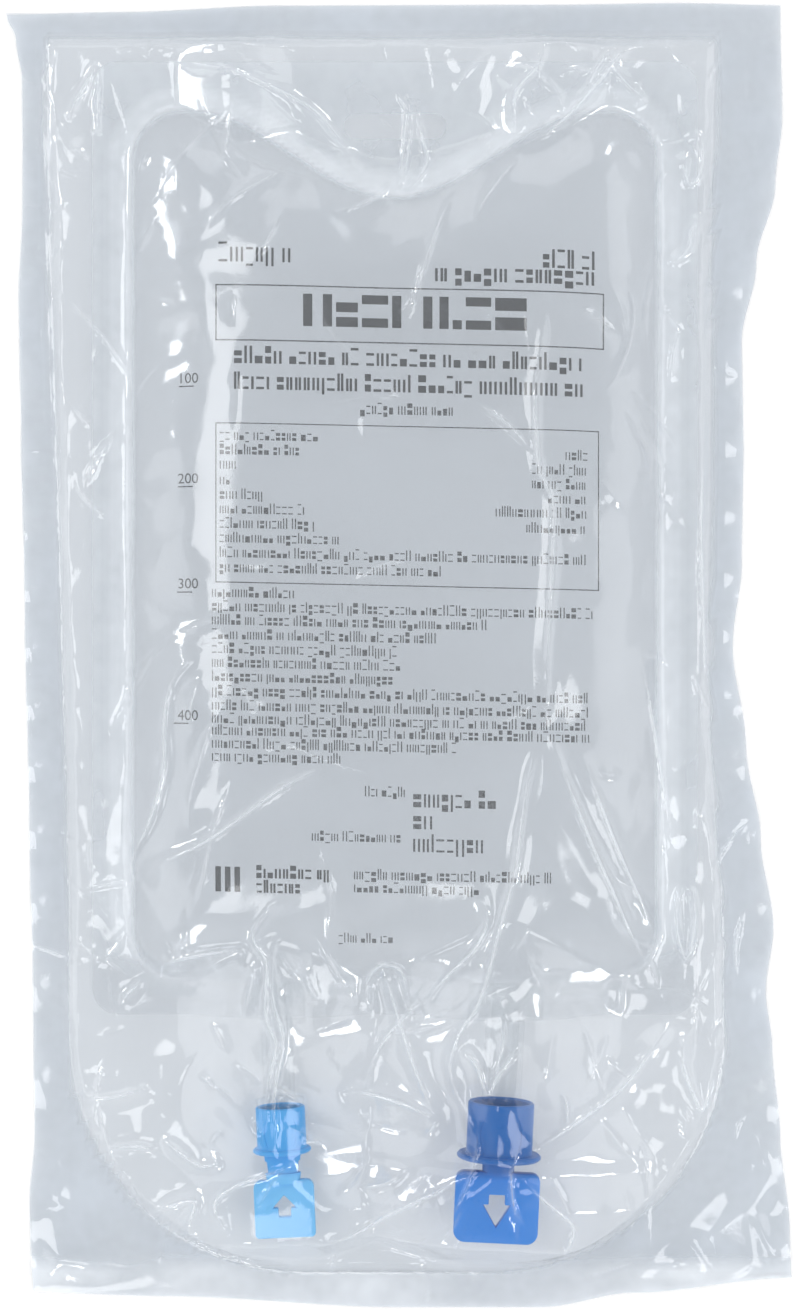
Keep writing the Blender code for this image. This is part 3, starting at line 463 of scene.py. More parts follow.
def seal_sides(y):
    share = np.asarray(y) / POUCH_LENGTH + 0.5
    left = BAG_CENTRE_X - BAG_WIDTH / 2 - along(SEAL_ROOM_LEFT, share)
    right = BAG_CENTRE_X + BAG_WIDTH / 2 + along(SEAL_ROOM_RIGHT, share)
    return left, right


def seal_depth(x, y):
    """Distance in from the inner edge of the seal, negative in the seal and past it."""
    left, right = seal_sides(y)
    depth = np.minimum.reduce([x - left, right - x, SEAL_TOP - y, y - SEAL_BOTTOM])
    arch_left, arch_right = seal_sides(ARCH_CENTRE_Y)
    below = ARCH_CENTRE_Y - y
    for beside in (arch_left + ARCH_RADIUS - x, x - arch_right + ARCH_RADIUS):
        rounded = np.where((beside > 0) & (below > 0), ARCH_RADIUS - np.hypot(beside, below), 1e3)
        depth = np.minimum(depth, rounded)
    return depth


def straight(stations, t):
    return np.interp(t, [s[0] for s in stations], [s[1] for s in stations])


def tab_span(port):
    start = port.sleeve_end + port.flange_thickness + sum(length for _, length in port.necks)
    return start, start + port.tab_length


def port_tent(port):
    """Height of the upper film where it hangs over one port."""
    dx, dy = GRID_X - port.x, GRID_Y - BAG_BOTTOM
    out = dx * math.sin(port.yaw) - dy * math.cos(port.yaw)
    beside = np.abs(dx * math.cos(port.yaw) + dy * math.sin(port.yaw))
    axis = axis_height(port)
    over = CLEARANCE + 0.7
    tab_start, tab_end = tab_span(port)
    boat_top = axis + port.tube_radius + 2 * over + BAG_GAUGE
    tab_top = axis + port.tab_thickness / 2 + 2 * over
    flange_top = axis + port.flange_radius + over
    ridge = straight((
        (-TENT_BACK_REACH, PILLOW_HEIGHT * TENT_BACK_SHARE),
        (-TENT_WELD_REACH * BOTTOM_WELD, boat_top),
        (0.0, boat_top),
        (port.sleeve_start, axis + port.sleeve_radius + RIB_PROUD + TENT_SLEEVE_AIR * over),
        (port.sleeve_end, flange_top),
        (port.sleeve_end + port.flange_thickness, flange_top),
        (tab_end + TENT_PAST_TAB, tab_top),
        (tab_end + TENT_PAST_TAB + TENT_FOOT_RUN, 0.5),
    ), out)
    middle = (tab_start + tab_end) / 2
    flat = straight(((tab_start, 0.0), (middle, port.tab_width / 2)), out)
    past = np.maximum(beside - flat, 0.0)
    return ridge - TENT_SLOPE * (np.hypot(past, TENT_ROUNDING) - TENT_ROUNDING)


POUCH_DEPTH = seal_depth(GRID_X, GRID_Y)
POUCH_LEFT, POUCH_RIGHT = pouch_sides(GRID_Y)
FROM_SIDE = np.minimum(GRID_X - POUCH_LEFT, POUCH_RIGHT - GRID_X)


def crush_strength():
    """How much the upper film is crushed from place to place."""
    strength = np.full(GRID_X.shape, 0.45)
    below = smooth((BAG_BOTTOM + 22 - GRID_Y) / 26)
    above = smooth((GRID_Y - 100) / 16)
    beside = smooth((np.abs(GRID_X - BAG_CENTRE_X) - 58) / 12)
    middle = smooth(DEPTH / 22) * (1 - below) * (1 - above)
    strength = strength * (1 - 0.55 * middle) + 0.75 * below + 0.45 * above + 0.2 * beside
    return np.where(POUCH_DEPTH > 0, strength, 0.10)


def front_film():
    """Height of the upper film of the pouch, and the thin crests drawn on it."""
    bag = SEAM_LEVEL + DRAPE_GAP + PILLOW_HEIGHT * pillow(chamber_depth(DRAPE_DIP)) + DRAPED_WRINKLES
    tent = np.maximum(port_tent(INJECTION), port_tent(INFUSION))
    over = (bag + tent + np.hypot(bag - tent, DRAPE_JOIN)) / 2
    rise = np.clip(POUCH_DEPTH / SEAL_RISE, 0, 1)
    inside = smooth(POUCH_DEPTH / 4)
    strength = blurred(crush_strength(), 3.0)
    crush = blurred(facets(11.0, 7, strength) + 0.5 * facets(5.5, 8, strength), 0.5)
    by_seal = smooth(1 - np.abs(POUCH_DEPTH - 5) / 8) * (1 + smooth((GRID_Y - 85) / 20))
    crinkle = blurred(facets(3.2, 9, by_seal), 0.4)
    veil = blurred(facets(26.0, 10, EVEN), 2.0)
    outward = np.arctan2(GRID_Y, np.abs(GRID_X) - 40) * np.sign(GRID_X + 0.01)
    steep = np.where(np.abs(GRID_X) > 56, math.pi / 2, outward)
    raised = scattered(11, 130, strength, 16.0, 0.75, steep)
    sunk = scattered(12, 90, strength, 13.0, 0.5, steep + 0.6)
    folds = np.maximum(CREASE_SCALE * ridges(CREASES), ridges(raised, fade=0.4))
    creased = (folds - ridges(sunk, fade=0.4) + CRUSH_HEIGHT * crush + CRINKLE_HEIGHT * crinkle
               + VEIL_HEIGHT * veil + SWELL_HEIGHT * waves(3, 34))
    level = SEAL_LEVEL + (over - SEAL_LEVEL) * rise + creased * inside
    drift = PUCKER_DRIFT * np.sin(GRID_Y * PUCKER_DRIFT_RATE)
    pucker = 0.5 + 0.5 * np.sin(GRID_Y * 2 * math.pi / PUCKER_PITCH + drift)
    outer = smooth(1 - FROM_SIDE / PUCKER_REACH) * smooth(-POUCH_DEPTH / SEAL_BAND)
    level += PUCKER_HEIGHT * pucker * outer
    from_edge = np.minimum(FROM_SIDE, GRID_Y + POUCH_LENGTH / 2 - LOOSE_BOTTOM)
    loose = smooth((-POUCH_DEPTH - SEAL_BAND) / LOOSE_FADE) * smooth(from_edge / LOOSE_FADE)
    loose *= GRID_Y < ARCH_CENTRE_Y
    level += loose * (LOOSE_HEIGHT + LOOSE_CRUSH * blurred(facets(8.0, 21, EVEN), 0.5))
    over_bag = np.abs(GRID_X - BAG_CENTRE_X) < BAG_WIDTH / 2
    over_bag &= (GRID_Y > BAG_BOTTOM) & (GRID_Y < BAG_TOP)
    lowest = np.where(over_bag, BAG_HIGH + DRAPE_CLEAR, FILM_GAP)
    tent_floor = FILM_GAP + (np.maximum(tent, TENT_LOWEST) - TENT_LOWEST) * rise
    crests = [(CREST_HEIGHT, curved(course, 5)) for _, _, _, course in CREASES]
    crests += [(CREST_SHARE * size, curved(course, 3)) for size, _, _, course in raised]
    crests += [(-CREST_SHARE * size, curved(course, 3)) for size, _, _, course in sunk]
    return np.maximum(level, np.maximum(lowest, tent_floor)), crests


def seal_line(away):
    """Line round the pouch at that distance out from the inner edge of its seal."""
    y = np.linspace(ARCH_CENTRE_Y, SEAL_TOP + min(away, TOP_SEAL - 1.5), 60)
    left, right = seal_sides(y)
    arch_left, arch_right = seal_sides(ARCH_CENTRE_Y)
    turn = np.linspace(0, math.pi / 2, 24)
    reach = ARCH_RADIUS + away

    def arch(centre, side):
        return np.stack([centre + side * reach * np.sin(turn), ARCH_CENTRE_Y - reach * np.cos(turn)], 1)

    low = arch(arch_right - ARCH_RADIUS, 1)
    low_left = arch(arch_left + ARCH_RADIUS, -1)
    rising = np.stack([right + away, y], 1)[1:]
    falling = np.stack([left - away, y], 1)[::-1][:-1]
    return np.concatenate([low, rising, falling, low_left[::-1], low[:1]])


FRONT, FINE = front_film()
# Height of a line on the seal and its distance out; those of height 0 only guide the mesh
SEAL_LINES = ((0.10, 0.6), (0.12, SEAL_BAND), (-0.08, 3.2), (0.0, 0.0), (0.0, -2.2))
FINE += [(height, seal_line(away)) for height, away in SEAL_LINES]


def fine_lines(x, y):
    """Height that the thin crests of the creases add at those places."""
    level = np.zeros(x.shape)
    for height, points in FINE:
        low, high = points.min(0) - CREST_REACH, points.max(0) + CREST_REACH
        near = np.flatnonzero((x > low[0]) & (x < high[0]) & (y > low[1]) & (y < high[1]))
        if not near.size:
            continue
        away, share = nearest(points, x[near], y[near])
        taper = smooth(np.minimum(share, 1 - share) / 0.4 + 0.03)
        added = height * np.clip(1 - np.abs(away) / CREST_REACH, 0, 1) * taper
        level[near] = np.where(np.abs(added) > np.abs(level[near]), added, level[near])
    return level


# Meshes


def link(name, mesh):
    made = bpy.data.objects.new(name, mesh)
    bpy.context.scene.collection.objects.link(made)
    return made


def dress(piece, material, node=None):
    """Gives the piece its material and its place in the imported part."""
    piece.data.materials.clear()
    piece.data.materials.append(material)
    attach(piece, "root")
    if node:
        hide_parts(node)


def grid_mesh(name, x, y, z):
    """Sheet through rows and columns of points, shaded smooth."""
    rows, columns = x.shape
    points = np.stack([x, y, z], -1).reshape(-1, 3) * MM
    index = np.arange(rows * columns).reshape(rows, columns)
    corners = index[:-1, :-1], index[:-1, 1:], index[1:, 1:], index[1:, :-1]
    faces = np.stack(corners, -1).reshape(-1, 4)
    mesh = bpy.data.meshes.new(name)
    mesh.from_pydata(points.tolist(), [], faces.tolist())
    mesh.shade_smooth()
    return mesh


def masked(mesh, name, values):
    """Keeps one number for each point of the mesh, for its material."""
    attribute = mesh.attributes.new(name, "FLOAT", "POINT")
    attribute.data.foreach_set("value", np.asarray(values, np.float32).ravel())


def pouch_places(columns, rows):
    """Places of a grid over the whole pouch."""
    y = np.linspace(-POUCH_LENGTH / 2, POUCH_LENGTH / 2, rows)[:, None]
    u = np.linspace(0, 1, columns)[None, :]
    left, right = pouch_sides(y)
    x = left + u * (right - left)
    y = np.repeat(y, columns, 1)
    across = x / POUCH_WIDTH + 0.5
    top = smooth((y - SEAL_TOP) / TOP_SEAL) * along(TOP_EDGE, across)
    bottom = smooth((SEAL_BOTTOM - y) / BOTTOM_SEAL) * along(BOTTOM_EDGE, across)
    return x, y - top + bottom


def beside_lines(spacing):
    """Rows of places along the fine lines and either side of them."""
    made = []
    for across in (0.0, 0.32, -0.32, 0.66, -0.66, 1.05, -1.05):
        for _, points in FINE:
            steps = np.hypot(*np.diff(points, axis=0).T)
            at = np.concatenate([[0], np.cumsum(steps)])
            along_line = np.arange(0, at[-1], spacing)
            x = np.interp(along_line, at, points[:, 0])
            y = np.interp(along_line, at, points[:, 1])
            heading = np.arctan2(np.gradient(y), np.gradient(x)) if len(x) > 1 else 0.0
            made.append(np.stack([x - across * np.sin(heading), y + across * np.cos(heading)], 1))
    return np.concatenate(made)


def thinned(places, apart):
    """The places in order, without those that share a small cell with an earlier one."""
    cells = np.floor(places / apart).astype(int)
    _, first = np.unique(cells[:, 0] * 100000 + cells[:, 1], return_index=True)
    return places[np.sort(first)]


def front_mesh():
    """Upper film, with points even over the pouch and crowded along every crease."""
    x, y = pouch_places(168, 280)
    rim = np.concatenate([
        np.stack([x[0], y[0]], 1), np.stack([x[1:, -1], y[1:, -1]], 1),
        np.stack([x[-1, -2::-1], y[-1, -2::-1]], 1), np.stack([x[-2:0:-1, 0], y[-2:0:-1, 0]], 1),
    ])
    lines = beside_lines(0.85)
    left, right = pouch_sides(lines[:, 1])
    ends = POUCH_LENGTH / 2 - 8.0
    clear = (lines[:, 0] > left + 0.8) & (lines[:, 0] < right - 0.8) & (np.abs(lines[:, 1]) < ends)
    even = np.stack([x[1:-1, 1:-1].ravel(), y[1:-1, 1:-1].ravel()], 1)
    inner = thinned(np.concatenate([lines[clear], even]), 0.45)
    points = np.concatenate([rim, inner])
    edges = [(i, (i + 1) % len(rim)) for i in range(len(rim))]
    corners, _, faces, _, _, _ = geometry.delaunay_2d_cdt(
        [Vector(p) for p in points.tolist()], edges, [], 1, 1e-4)
    places = np.array([tuple(c) for c in corners])
    x, y = places[:, 0], places[:, 1]
    crest = fine_lines(x, y) * sample(smooth(POUCH_DEPTH + SEAL_BAND + 1), x, y)
    z = sample(FRONT, x, y) + crest
    mesh = bpy.data.meshes.new("overwrap_front")
    mesh.from_pydata((np.stack([x, y, np.maximum(z, FILM_GAP)], 1) * MM).tolist(), [], faces)
    mesh.shade_smooth()
    masked(mesh, "seal", smooth(-sample(POUCH_DEPTH, x, y)) * (0.12 + 0.88 * smooth((-138 - y) / 6)))
    # The crease mask marks the crests where the film material paints a whitish highlight
    masked(mesh, "crease", np.clip(np.abs(crest) / 0.45, 0, 1) ** 2)
    return mesh


def make_pouch(material):
    front = link("overwrap_front", front_mesh())
    x, y = pouch_places(92, 152)
    mesh = grid_mesh("overwrap_back", x, y, SHEET_LEVEL + 0.05 * sample(waves(44, 20), x, y))
    masked(mesh, "seal", smooth(-sample(POUCH_DEPTH, x, y)))
    back = link("overwrap_back", mesh)
    dress(front, material, "overwrap_front_film")
    dress(back, material, "overwrap_back_film")


def corner_steps(length, corner, spacing):
    """Places along a side, close together round its rounded ends."""
    turn = corner * (1 - np.cos(np.linspace(0, math.pi / 2, 9)))
    middle = np.linspace(corner, length - corner, int((length - 2 * corner) / spacing) + 1)
    return np.concatenate([turn[:-1], middle, length - turn[:-1][::-1]])


def bag_places(spacing):
    along_y = corner_steps(BAG_TOP - BAG_BOTTOM, BAG_CORNER, spacing)
    from_end = np.minimum(along_y, along_y[-1] - along_y)
    inset = np.clip(BAG_CORNER - from_end, 0, BAG_CORNER)
    half = BAG_WIDTH / 2 - BAG_CORNER + np.sqrt(np.maximum(BAG_CORNER ** 2 - inset ** 2, 0))
    u = np.linspace(-1, 1, int(BAG_WIDTH / spacing) + 1)
    x = BAG_CENTRE_X + half[:, None] * u[None, :]
    y = np.repeat((BAG_BOTTOM + along_y)[:, None], len(u), 1)
    return x, y


def cut_slot(mesh):
    """Opens the hanging slot in a sheet and rounds the opening's edge."""
    middle = BAG_TOP - (TOP_WELD + HANGER_DIP) / 2
    radius = HANGER_SLOT_HEIGHT / 2
    reach = HANGER_SLOT_WIDTH / 2 - radius

    def core(p):
        return Vector((BAG_CENTRE_X + max(-reach, min(reach, p.x / MM - BAG_CENTRE_X)), middle)) * MM

    bm = bmesh.new()
    bm.from_mesh(mesh)
    inside = [f for f in bm.faces
              if (f.calc_center_median().xy - core(f.calc_center_median())).length < radius * MM]
    rim = {v for f in inside for e in f.edges for v in e.verts
           if any(other not in inside for other in e.link_faces)}
    bmesh.ops.delete(bm, geom=inside, context="FACES")
    for v in rim:
        away = v.co.xy - core(v.co)
        if away.length > 1e-7:
            v.co.x, v.co.y = core(v.co) + away.normalized() * radius * MM
    bm.to_mesh(mesh)
    bm.free()


def make_bag(film, fluid):
    x, y = bag_places(1.15)
    depth = sample(DEPTH, x, y)
    weld = smooth(1 - depth / 2.4) * (0.45 + 0.55 * smooth(1 + (depth + 2.5) / 3))
    weld *= 0.15 + 0.85 * smooth((y - BAG_BOTTOM - 8) / 14)
    pieces = []
    for name, height in (("bag_front", BAG_HIGH), ("bag_back", BAG_LOW)):
        mesh = grid_mesh(name, x, y, sample(height, x, y))
        masked(mesh, "weld", weld)
        cut_slot(mesh)
        sheet = link(name, mesh)
        dress(sheet, film, name + "_film")
        pieces.append(sheet)
    body = make_fluid(fluid)
    for inner in pieces + [body]:
        inner.visible_shadow = False


def band(bm, ring, other):
    """Faces between two rings of corners."""
    for i in range(len(ring)):
        j = (i + 1) % len(ring)
        bm.faces.new((ring[i], ring[j], other[j], other[i]))


def solid(name, bm):
    bmesh.ops.recalc_face_normals(bm, faces=bm.faces)
    mesh = bpy.data.meshes.new(name)
    bm.to_mesh(mesh)
    bm.free()
    return link(name, mesh)


def make_fluid(material):
    """Body of fluid, a little clear of the films all round."""
    ring = chamber_outline()
    spine_low, spine_high = BAG_BOTTOM + BOTTOM_WELD + 60, BAG_TOP - TOP_WELD - 60
    spine = np.clip(ring[:, 1], spine_low, spine_high)
    core = np.stack([np.full(len(ring), BAG_CENTRE_X), spine], 1)
    steps = np.linspace(0, 1, 30) ** 1.3
    bm = bmesh.new()
    above, below = [], []
    for step in steps[:-1]:
        x, y = (ring + (core - ring) * step).T
        high = sample(BAG_HIGH, x, y) - FILM_GAP
        low = np.minimum(sample(BAG_LOW, x, y) + FILM_GAP, high - 0.05)
        for rings, z in ((above, high), (below, low)):
            rings.append([bm.verts.new(place) for place in np.stack([x, y, z], 1) * MM])
    for rings in (above, below):
        for outer, inner in zip(rings, rings[1:]):
            band(bm, outer, inner)
        bm.faces.new(rings[-1])
    band(bm, below[0], above[0])
    body = solid("saline_body", bm)
    body.data.shade_smooth()
    dress(body, material, "saline_fill")
    return body


def chamber_outline():
    """Points round the chamber, just inside its weld."""
    inset = 0.6
    corner = CHAMBER_CORNER - inset
    across = BAG_WIDTH / 2 - SIDE_WELD - inset - corner
    low = BAG_BOTTOM + BOTTOM_WELD + inset + corner
    high = BAG_TOP - TOP_WELD - inset - corner
    centres = np.array([(across, low), (across, high), (-across, high), (-across, low)])
    points = []
    for k, count in enumerate((60, 70, 60, 70)):
        start = (k - 1) * math.pi / 2
        out = corner * np.array([math.cos(start), math.sin(start)])
        side = centres[k] - centres[k - 1]
        points += [centres[k - 1] + out + side * i / count for i in range(count)]
        for angle in start + np.arange(9) * math.pi / 18:
            points.append(centres[k] + corner * np.array([math.cos(angle), math.sin(angle)]))
    u, v = np.array(points).T
    dip = np.where(v > 0, HANGER_DIP * hump(u / HANGER_DIP_HALF_WIDTH), 0.0)
    return np.stack([BAG_CENTRE_X + u, v - dip], 1)


# Print on the bag


INK_LIFT = 0.08
PRINT_SLANT = 0.022
PRINT_LEFT = -42.0


def inked(name, material, shapes):
    """Flat marks laid on the upper film of the bag, from (left, bottom, right, top) boxes."""
    points, faces = [], []
    for left, bottom, right, top in shapes:
        across = max(int((right - left) / 1.6), 1)
        start = len(points)
        for i in range(across + 1):
            x = left + (right - left) * i / across
            slant = PRINT_SLANT * max(x - PRINT_LEFT, 0.0)
            points += [(x, bottom - slant), (x, top - slant)]
        for a in range(start, start + 2 * across, 2):
            faces.append((a, a + 2, a + 3, a + 1))
    x, y = np.array(points).T
    mesh = bpy.data.meshes.new(name)
    mesh.from_pydata((np.stack([x, y, sample(BAG_HIGH, x, y) + INK_LIFT], 1) * MM).tolist(), [], faces)
    dress(link(name, mesh), material)


def mark(kind, left, bottom, width, high, stroke):
    """One small mark of the print, as rectangles."""
    right, top = left + width, bottom + high
    stem = (left, bottom, left + stroke, top)
    far = (right - stroke, bottom, right, top)
    return {
        "stem": [stem],
        "pair": [stem, far],
        "rails": [(left, bottom, right, bottom + stroke), (left, top - stroke, right, top)],
        "dots": [(left, bottom, right, bottom + 0.4 * high), (left, top - 0.4 * high, right, top)],
        "block": [(left, bottom, right, bottom + 0.6 * high)],
    }[kind]


def words(left, right, middle, height, seed, stroke=0.16):
    """Rows of small marks in word-like groups, as many as fit between two places."""
    draw = random.Random(seed)
    x = left
    bottom = middle - height / 2
    made = []
    while x < right - 0.4 * height:
        for _ in range(draw.randint(2, 10)):
            kind = draw.choice(("stem", "pair", "pair", "rails", "dots", "block"))
            width = height * (stroke if kind == "stem" else draw.choice((0.48, 0.55, 0.62)))
            reach = draw.choice((0, 0, 0, 1, 2))
            if x + width > right:
                x = right
                break
            low = bottom - (0.3 * height if reach == 2 and draw.random() < 0.4 else 0.0)
            high = bottom + height * (1.38 if reach == 1 else 1.0)
            made += mark(kind, x, low, width, high - low, stroke * height)
            x += width + 0.2 * height
        x += 0.4 * height
    return made


def frame_lines(left, bottom, right, top, line):
    return [
        (left, bottom, right, bottom + line), (left, top - line, right, top),
        (left, bottom, left + line, top), (right - line, bottom, right, top),
    ]


# Lines of the label in two inks: left and right end, middle, height, seed and stroke
BOLD_WORDS = (
    (32.8, 47.6, 91.6, 3.1, 1, 0.2), (8.2, 47.6, 88.0, 3.1, 2, 0.2),
    (-37.7, 42.6, 68.2, 2.9, 3, 0.2), (-37.7, 42.6, 62.3, 2.9, 4, 0.2),
    (-32.6, -14.6, -49.6, 2.2, 75, 0.22), (-32.6, -22.6, -53.0, 2.2, 76, 0.22),
    (-41.3, -23.5, 91.6, 3.3, 80),
)
FINE_WORDS = (
    (-8.9, 13.0, 56.7, 1.9, 5), (-7.8, 1.3, -30.6, 1.7, 70), (3.2, 23.5, -32.2, 3.0, 71),
    (3.2, 8.0, -37.2, 3.0, 72), (-19.9, 0.7, -41.0, 1.7, 73), (3.2, 20.7, -42.4, 3.0, 74),
    (-10.3, 34.9, -49.6, 1.8, 77), (-10.3, 19.0, -52.6, 1.8, 78), (-13.9, -0.3, -64.6, 1.7, 79),
)
# Rows of the label that start at one side: middle and far end
ROW_HEIGHT = 1.75
LEFT_ROWS = ((50.1, -17.8), (46.8, -22.6), (43.5, -36.3), (39.9, -37.4), (36.6, -30.6),
             (33.3, -20.3), (30.0, -18.9), (26.7, -12.6), (23.3, 42.8), (19.9, 10.9))
RIGHT_ROWS = ((47.2, 38.0), (43.8, 30.3), (40.5, 30.3), (37.2, 34.0), (33.9, 22.0), (30.4, 29.0))
TEXT_ROWS = ((14.2, -22.6), (11.0, 44.5), (7.9, 20.7), (4.6, 8.7), (1.4, -0.5), (-1.8, 1.1),
             (-5.0, -0.5), (-8.3, 44.0), (-11.6, 43.6), (-14.6, 44.0), (-17.3, 44.0), (-20.3, 13.9),
             (-23.3, -13.0))
# Large marks of the title: kind, width, height
TITLE = (("pair", 6.6, 7.4), ("dots", 5.0, 5.6), ("rails", 6.0, 7.4), ("stem", 2.1, 7.4),
         (None, 3.2, 0.0), ("pair", 5.8, 7.4), ("stem", 2.1, 2.1), ("rails", 5.8, 7.4),
         ("dots", 7.2, 7.4))
SCALE_TICKS = ((-50.6, 61.5), (-50.8, 38.5), (-51.0, 14.3), (-51.8, -15.8))
SCALE_NUMBERS = ((100, 62.4), (200, 39.4), (300, 15.3), (400, -14.9))


def make_print(bold, fine):
    heavy = [box for row in BOLD_WORDS for box in words(*row)]
    light = [box for row in FINE_WORDS for box in words(*row)]
    light += frame_lines(-42.0, 71.9, 47.0, 84.8, 0.32)
    light += frame_lines(-42.0, 16.6, 45.8, 53.2, 0.26)
    x = -21.9
    for kind, width, high in TITLE:
        if kind:
            heavy += mark(kind, x, 75.5, width, high, 2.1)
        x += width + 0.9
    for i, (y, right) in enumerate(LEFT_ROWS):
        light += words(-41.0, right, y, ROW_HEIGHT, 10 + i)
    for i, (y, left) in enumerate(RIGHT_ROWS):
        light += words(left, 43.6, y, ROW_HEIGHT, 30 + i)
    for i, (y, right) in enumerate(TEXT_ROWS):
        light += words(-42.8, right, y, ROW_HEIGHT, 50 + i)
    heavy += [(-42.0 + 2.2 * k, -54.0, -40.7 + 2.2 * k, -48.2) for k in range(3)]
    light += [(left, low, left + 3.5, low + 0.3) for left, low in SCALE_TICKS]
    inked("print_heavy", bold, heavy)
    inked("print_fine", fine, light)
    for value, y in SCALE_NUMBERS:
        graduation(str(value), -50.9, y, bold)


def graduation(value, x, y, material):
    """A number of the scale, laid on the film."""
    curve = bpy.data.curves.new("scale_" + value, "FONT")
    curve.body = value
    curve.size = 3.3 * MM
    text = link("scale_text", curve)
    mesh = bpy.data.meshes.new_from_object(text)
    bpy.data.objects.remove(text, do_unlink=True)
    for v in mesh.vertices:
        px, py = v.co.x / MM + x, v.co.y / MM + y
        v.co = Vector((px, py, float(sample(BAG_HIGH, px, py)) + INK_LIFT)) * MM
    dress(link("scale_" + value, mesh), material)


# Ports

TURN_STEPS = 72


def turned(profile):
    """Solid turned round Z from (radius, z) points that start and end on the axis."""
    bm = bmesh.new()
    corners = [bm.verts.new((radius, 0.0, z)) for radius, z in profile]
    edges = [bm.edges.new(pair) for pair in zip(corners, corners[1:])]
    bmesh.ops.spin(bm, geom=corners + edges, cent=(0, 0, 0), axis=(0, 0, 1),
                   angle=2 * math.pi, steps=TURN_STEPS, use_duplicate=False)
    bmesh.ops.remove_doubles(bm, verts=bm.verts, dist=1e-4)
    return bm


def prism(near, far):
    """Straight solid between two equal outlines."""
    bm = bmesh.new()
    ends = [[bm.verts.new(place) for place in outline] for outline in (near, far)]
    for ring in ends:
        bm.faces.new(ring)
    band(bm, *ends)
    return bm


def flat_prism(points, half):
    """Prism of an outline that lies flat across the port, to that height either side."""
    return prism(*([(u, w, v) for u, v in points] for w in (-half, half)))


def combine(target, tool, operation):
    modifier = target.modifiers.new(tool.name, "BOOLEAN")
    modifier.operation = operation
    modifier.solver = "EXACT"
    modifier.object = tool


def baked(made):
    """The object's mesh with its modifiers applied."""
    bpy.context.view_layer.update()
    return bpy.data.meshes.new_from_object(made.evaluated_get(bpy.context.evaluated_depsgraph_get()))


def joined(made, other):
    """Adds the other object's shell to the first one's mesh."""
    bm = bmesh.new()
    bm.from_mesh(baked(made))
    bm.from_mesh(baked(other))
    made.modifiers.clear()
    bm.to_mesh(made.data)
    bm.free()


def settled(made, tools, port):
    """Applies the modifiers, drops the tools, and puts the piece on its port's axis, in metres."""
    mesh = baked(made)
    made.modifiers.clear()
    made.data = mesh
    for tool in tools:
        bpy.data.objects.remove(tool, do_unlink=True)
    c, s = math.cos(port.yaw), math.sin(port.yaw)
    for v in mesh.vertices:
        u, rise, out = v.co
        x, y = port.x + u * c + out * s, BAG_BOTTOM + u * s - out * c
        v.co = Vector((x, y, axis_height(port) + rise)) * MM
    mesh.shade_smooth()
    mesh.set_sharp_from_angle(angle=math.radians(35))


def rounded_tab(port):
    start, end = tab_span(port)
    half = port.tab_width / 2
    outline = []
    corners = ((1, start, port.tab_top_corner, -90), (1, end, -port.tab_end_corner, 0),
               (-1, end, -port.tab_end_corner, 90), (-1, start, port.tab_top_corner, 180))
    for side, edge, inset, first in corners:
        radius = abs(inset)
        for i in range(10):
            angle = math.radians(first + i * 10)
            outline.append((side * (half - radius) + radius * math.cos(angle),
                            edge + inset + radius * math.sin(angle)))
    bowed = []
    for u, v in outline:
        share = (v - start) / (end - start)
        bowed.append((u, v + port.tab_bow * share * (1 - (u / half) ** 2)))
    return bowed


def arrow_outline(port):
    stem, wing = port.arrow_stem / 2, port.arrow_width / 2
    shape = [(0.0, 0.0), (wing, port.arrow_head), (stem, port.arrow_head), (stem, port.arrow_length)]
    shape += [(-u, v) for u, v in shape[:0:-1]]
    top = tab_span(port)[0] + port.arrow_start
    if port.arrow_points_out:
        return [(u, top + port.arrow_length - v) for u, v in shape]
    return [(u, top + v) for u, v in shape]


def bevelled(target, width):
    bevel = target.modifiers.new("edge", "BEVEL")
    bevel.width = width
    bevel.segments = 3
    bevel.limit_method = "ANGLE"
    bevel.angle_limit = math.radians(40)
    bevel.use_clamp_overlap = True


def make_cap(port, material):
    start, end = port.sleeve_start, port.sleeve_end
    outer, flange = port.sleeve_radius, port.flange_radius
    inner = outer - port.sleeve_wall
    lip = port.sleeve_wall / 3
    flange_end = end + port.flange_thickness
    edge = port.flange_thickness / 3
    cap = solid(port.name + "_moulding", turned([
        (0.0, end), (inner, end), (inner, start + lip), (inner + lip, start),
        (outer - lip, start), (outer, start + lip), (outer, end - 0.5), (outer + 0.15, end - 0.15),
        (outer + 0.5, end), (flange - edge, end), (flange, end + edge),
        (flange, flange_end - edge), (flange - edge, flange_end), (0.0, flange_end),
    ]))
    tab = solid(port.name + "_tab", flat_prism(rounded_tab(port), port.tab_thickness / 2))
    arrow = solid(port.name + "_arrow", flat_prism(arrow_outline(port), port.tab_thickness))
    combine(tab, arrow, "DIFFERENCE")
    bevelled(tab, 0.45)
    at = end + port.flange_thickness / 2
    neck_profile = [(0.0, at)]
    next_end = flange_end
    for radius, length in port.necks:
        next_end += length
        neck_profile += [(radius, at), (radius * NECK_TAPER, next_end)]
        at = next_end
    neck_profile += [(neck_profile[-1][0], at + 0.8), (0.0, at + 0.8)]
    bm = turned(neck_profile)
    bmesh.ops.scale(bm, vec=(1.0, NECK_FLATNESS, 1.0), verts=bm.verts)
    neck = solid(port.name + "_neck", bm)
    ribs = solid(port.name + "_ribs", make_ribs(port))
    combine(cap, ribs, "UNION")
    combine(cap, neck, "UNION")
    joined(cap, tab)
    settled(cap, (ribs, neck, tab, arrow), port)
    dress(cap, material, port.name + "_cap")


